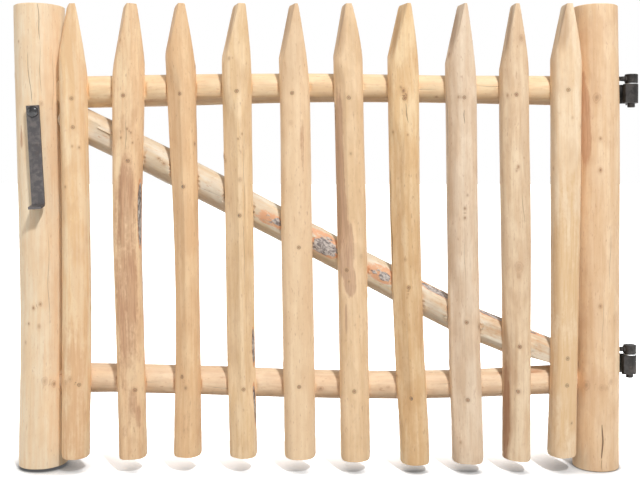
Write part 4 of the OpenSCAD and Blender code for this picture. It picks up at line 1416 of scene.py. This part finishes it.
for place in ("upper", "lower"):
    middle, low, high = boxOf(place + "_washer")
    axisX, axisY = middle.x, middle.y
    thick, bevel, inner, outer = high.z - low.z, washer["bevel"], washer["inner"], washer["outer"]
    loop = [(inner, bevel), (inner + bevel, 0), (outer - bevel, 0), (outer, bevel),
            (outer, thick - bevel), (outer - bevel, thick), (inner + bevel, thick),
            (inner, thick - bevel)]
    shape = bmesh.new()
    turnedPart(shape, loop, (axisX, axisY, low.z), up, washer["around"], ring=True)
    finishMetal(place + "_washer_zinc", shape, place + "_washer", "post_side",
                metals["zincPlate"])

    # the pin's ends close in small flat discs, the upper one slightly raised
    middle, low, high = boxOf(place + "_pintle_pin")
    height = high.z - low.z
    spots = [(0.6, 0)] + rounded(pin["radius"], 0, height, pin["bevel"])[1:]
    spots += [(2.4, height + 0.05), (0.6, height + 0.1)]
    shape = bmesh.new()
    turnedPart(shape, spots, (axisX, axisY, low.z), up, pin["around"])
    finishMetal(place + "_pin", shape, place + "_pintle_pin", "post_side",
                metals["blackHinge"])

    # the eye, and its threaded shank with a weld where they meet
    middle, low, high = boxOf(place + "_eye_bolt")
    shape = bmesh.new()
    loop = hollowed(eyeBolt["eye"], eyeBolt["height"], eyeBolt["bevel"], eyeBolt["bore"],
                    eyeBolt["chamfer"])
    turnedPart(shape, loop, (axisX, axisY, low.z), up, eyeBolt["around"], ring=True)
    start = axisX - eyeBolt["eye"] + eyeBolt["shankStart"]
    long, weld, shank = start - low.x, eyeBolt["weld"], eyeBolt["shank"]
    steps = [(weld, 0), (weld, 1.9), (weld - 0.7, 2.9), (shank, 3.6)]
    steps += [(shank, h) for h in np.arange(4.0, long - 1.2, eyeBolt["threadStep"])]
    steps += [(shank - 0.4, long - 0.9), (shank - 1.2, long)]
    turnedPart(shape, steps, (start, axisY, (low.z + high.z) / 2), (-1, 0, 0),
               eyeBolt["shankAround"], thread={**eyeBolt["thread"], "to": long - 1})
    finishMetal(place + "_eye", shape, place + "_eye_bolt", "leaf",
                metals["blackHinge"])
print("hinge pins, eyes and washers built")


# folded and cut steel: the CAD solid with its loose triangles joined and its edges eased
easing = {"bracket": 0.7, "bar": 0.8, "nut": 0.35, "sharpFrom": 32, "flatBelow": 0.6,
          "joinBelow": 0.01}


def easedCopy(name, node, body, material, offset, parts=3):
    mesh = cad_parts[node].data.copy()
    shape = bmesh.new()
    shape.from_mesh(mesh)
    bpy.data.meshes.remove(mesh)
    bmesh.ops.remove_doubles(shape, verts=shape.verts, dist=easing["joinBelow"] * mm)
    bmesh.ops.dissolve_limit(shape, angle_limit=math.radians(easing["flatBelow"]),
                             verts=shape.verts, edges=shape.edges)
    least = math.radians(easing["sharpFrom"])
    sharp = [edge for edge in shape.edges
             if len(edge.link_faces) == 2 and edge.calc_face_angle(0) > least]
    bmesh.ops.bevel(shape, geom=sharp, offset=offset * mm, segments=parts, profile=0.5,
                    affect="EDGES", clamp_overlap=True)
    manySided = [face for face in shape.faces if len(face.verts) > 4]
    bmesh.ops.triangulate(shape, faces=manySided)
    finishMetal(name, shape, node, body, material, 30)


for place in ("upper", "lower"):
    easedCopy(place + "_bracket", place + "_pintle_bracket", "post_side", metals["blackHinge"],
              easing["bracket"])
easedCopy("latch_bar_flat", "latch_bar", "latch", metals["blackBar"], easing["bar"])
easedCopy("latch_nut_hexagon", "latch_nut", "leaf", metals["blackBolt"], easing["nut"], parts=2)

# latch bolt: a domed head, turned from its crown back, and a shank threaded at its end
bolt = {"head": 9.2, "dome": 5.2, "domeSteps": 10, "shank": 4, "threadStep": 0.4, "around": 36,
        "threaded": 30, "thread": {"pitch": 1.25, "deep": 0.5}}
spacer = {"bore": 4.15, "bevel": 0.5, "chamfer": 0.4, "around": 44}
back = (0, 1, 0)

middle, low, high = boxOf("latch_bolt")
long, head, dome, shank = high.y - low.y, bolt["head"], bolt["dome"], bolt["shank"]
spots = [(0.5, 0)]
for i in range(1, bolt["domeSteps"] + 1):
    t = math.pi / 2 * i / bolt["domeSteps"]
    spots.append((head * math.sin(t), dome * (1 - math.cos(t))))
spots += [(head - 0.4, dome), (shank, dome)]
spots += [(shank, h) for h in np.arange(dome + 1, long - 1.4, bolt["threadStep"])]
spots += [(shank - 0.5, long - 0.8), (shank - 1.2, long)]
shape = bmesh.new()
turnedPart(shape, spots, ((low.x + high.x) / 2, low.y, (low.z + high.z) / 2), back,
           bolt["around"], thread={**bolt["thread"], "from": long - bolt["threaded"],
                                   "to": long - 1})
finishMetal("latch_bolt_domed", shape, "latch_bolt", "leaf", metals["blackBolt"])

middle, low, high = boxOf("latch_spacer")
loop = hollowed((high.x - low.x) / 2, high.y - low.y, spacer["bevel"], spacer["bore"],
                spacer["chamfer"])
shape = bmesh.new()
turnedPart(shape, loop, (middle.x, low.y, middle.z), back, spacer["around"], ring=True)
finishMetal("latch_spacer_tube", shape, "latch_spacer", "leaf",
            metals["blackBolt"])
print("latch and brackets built")


low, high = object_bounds()
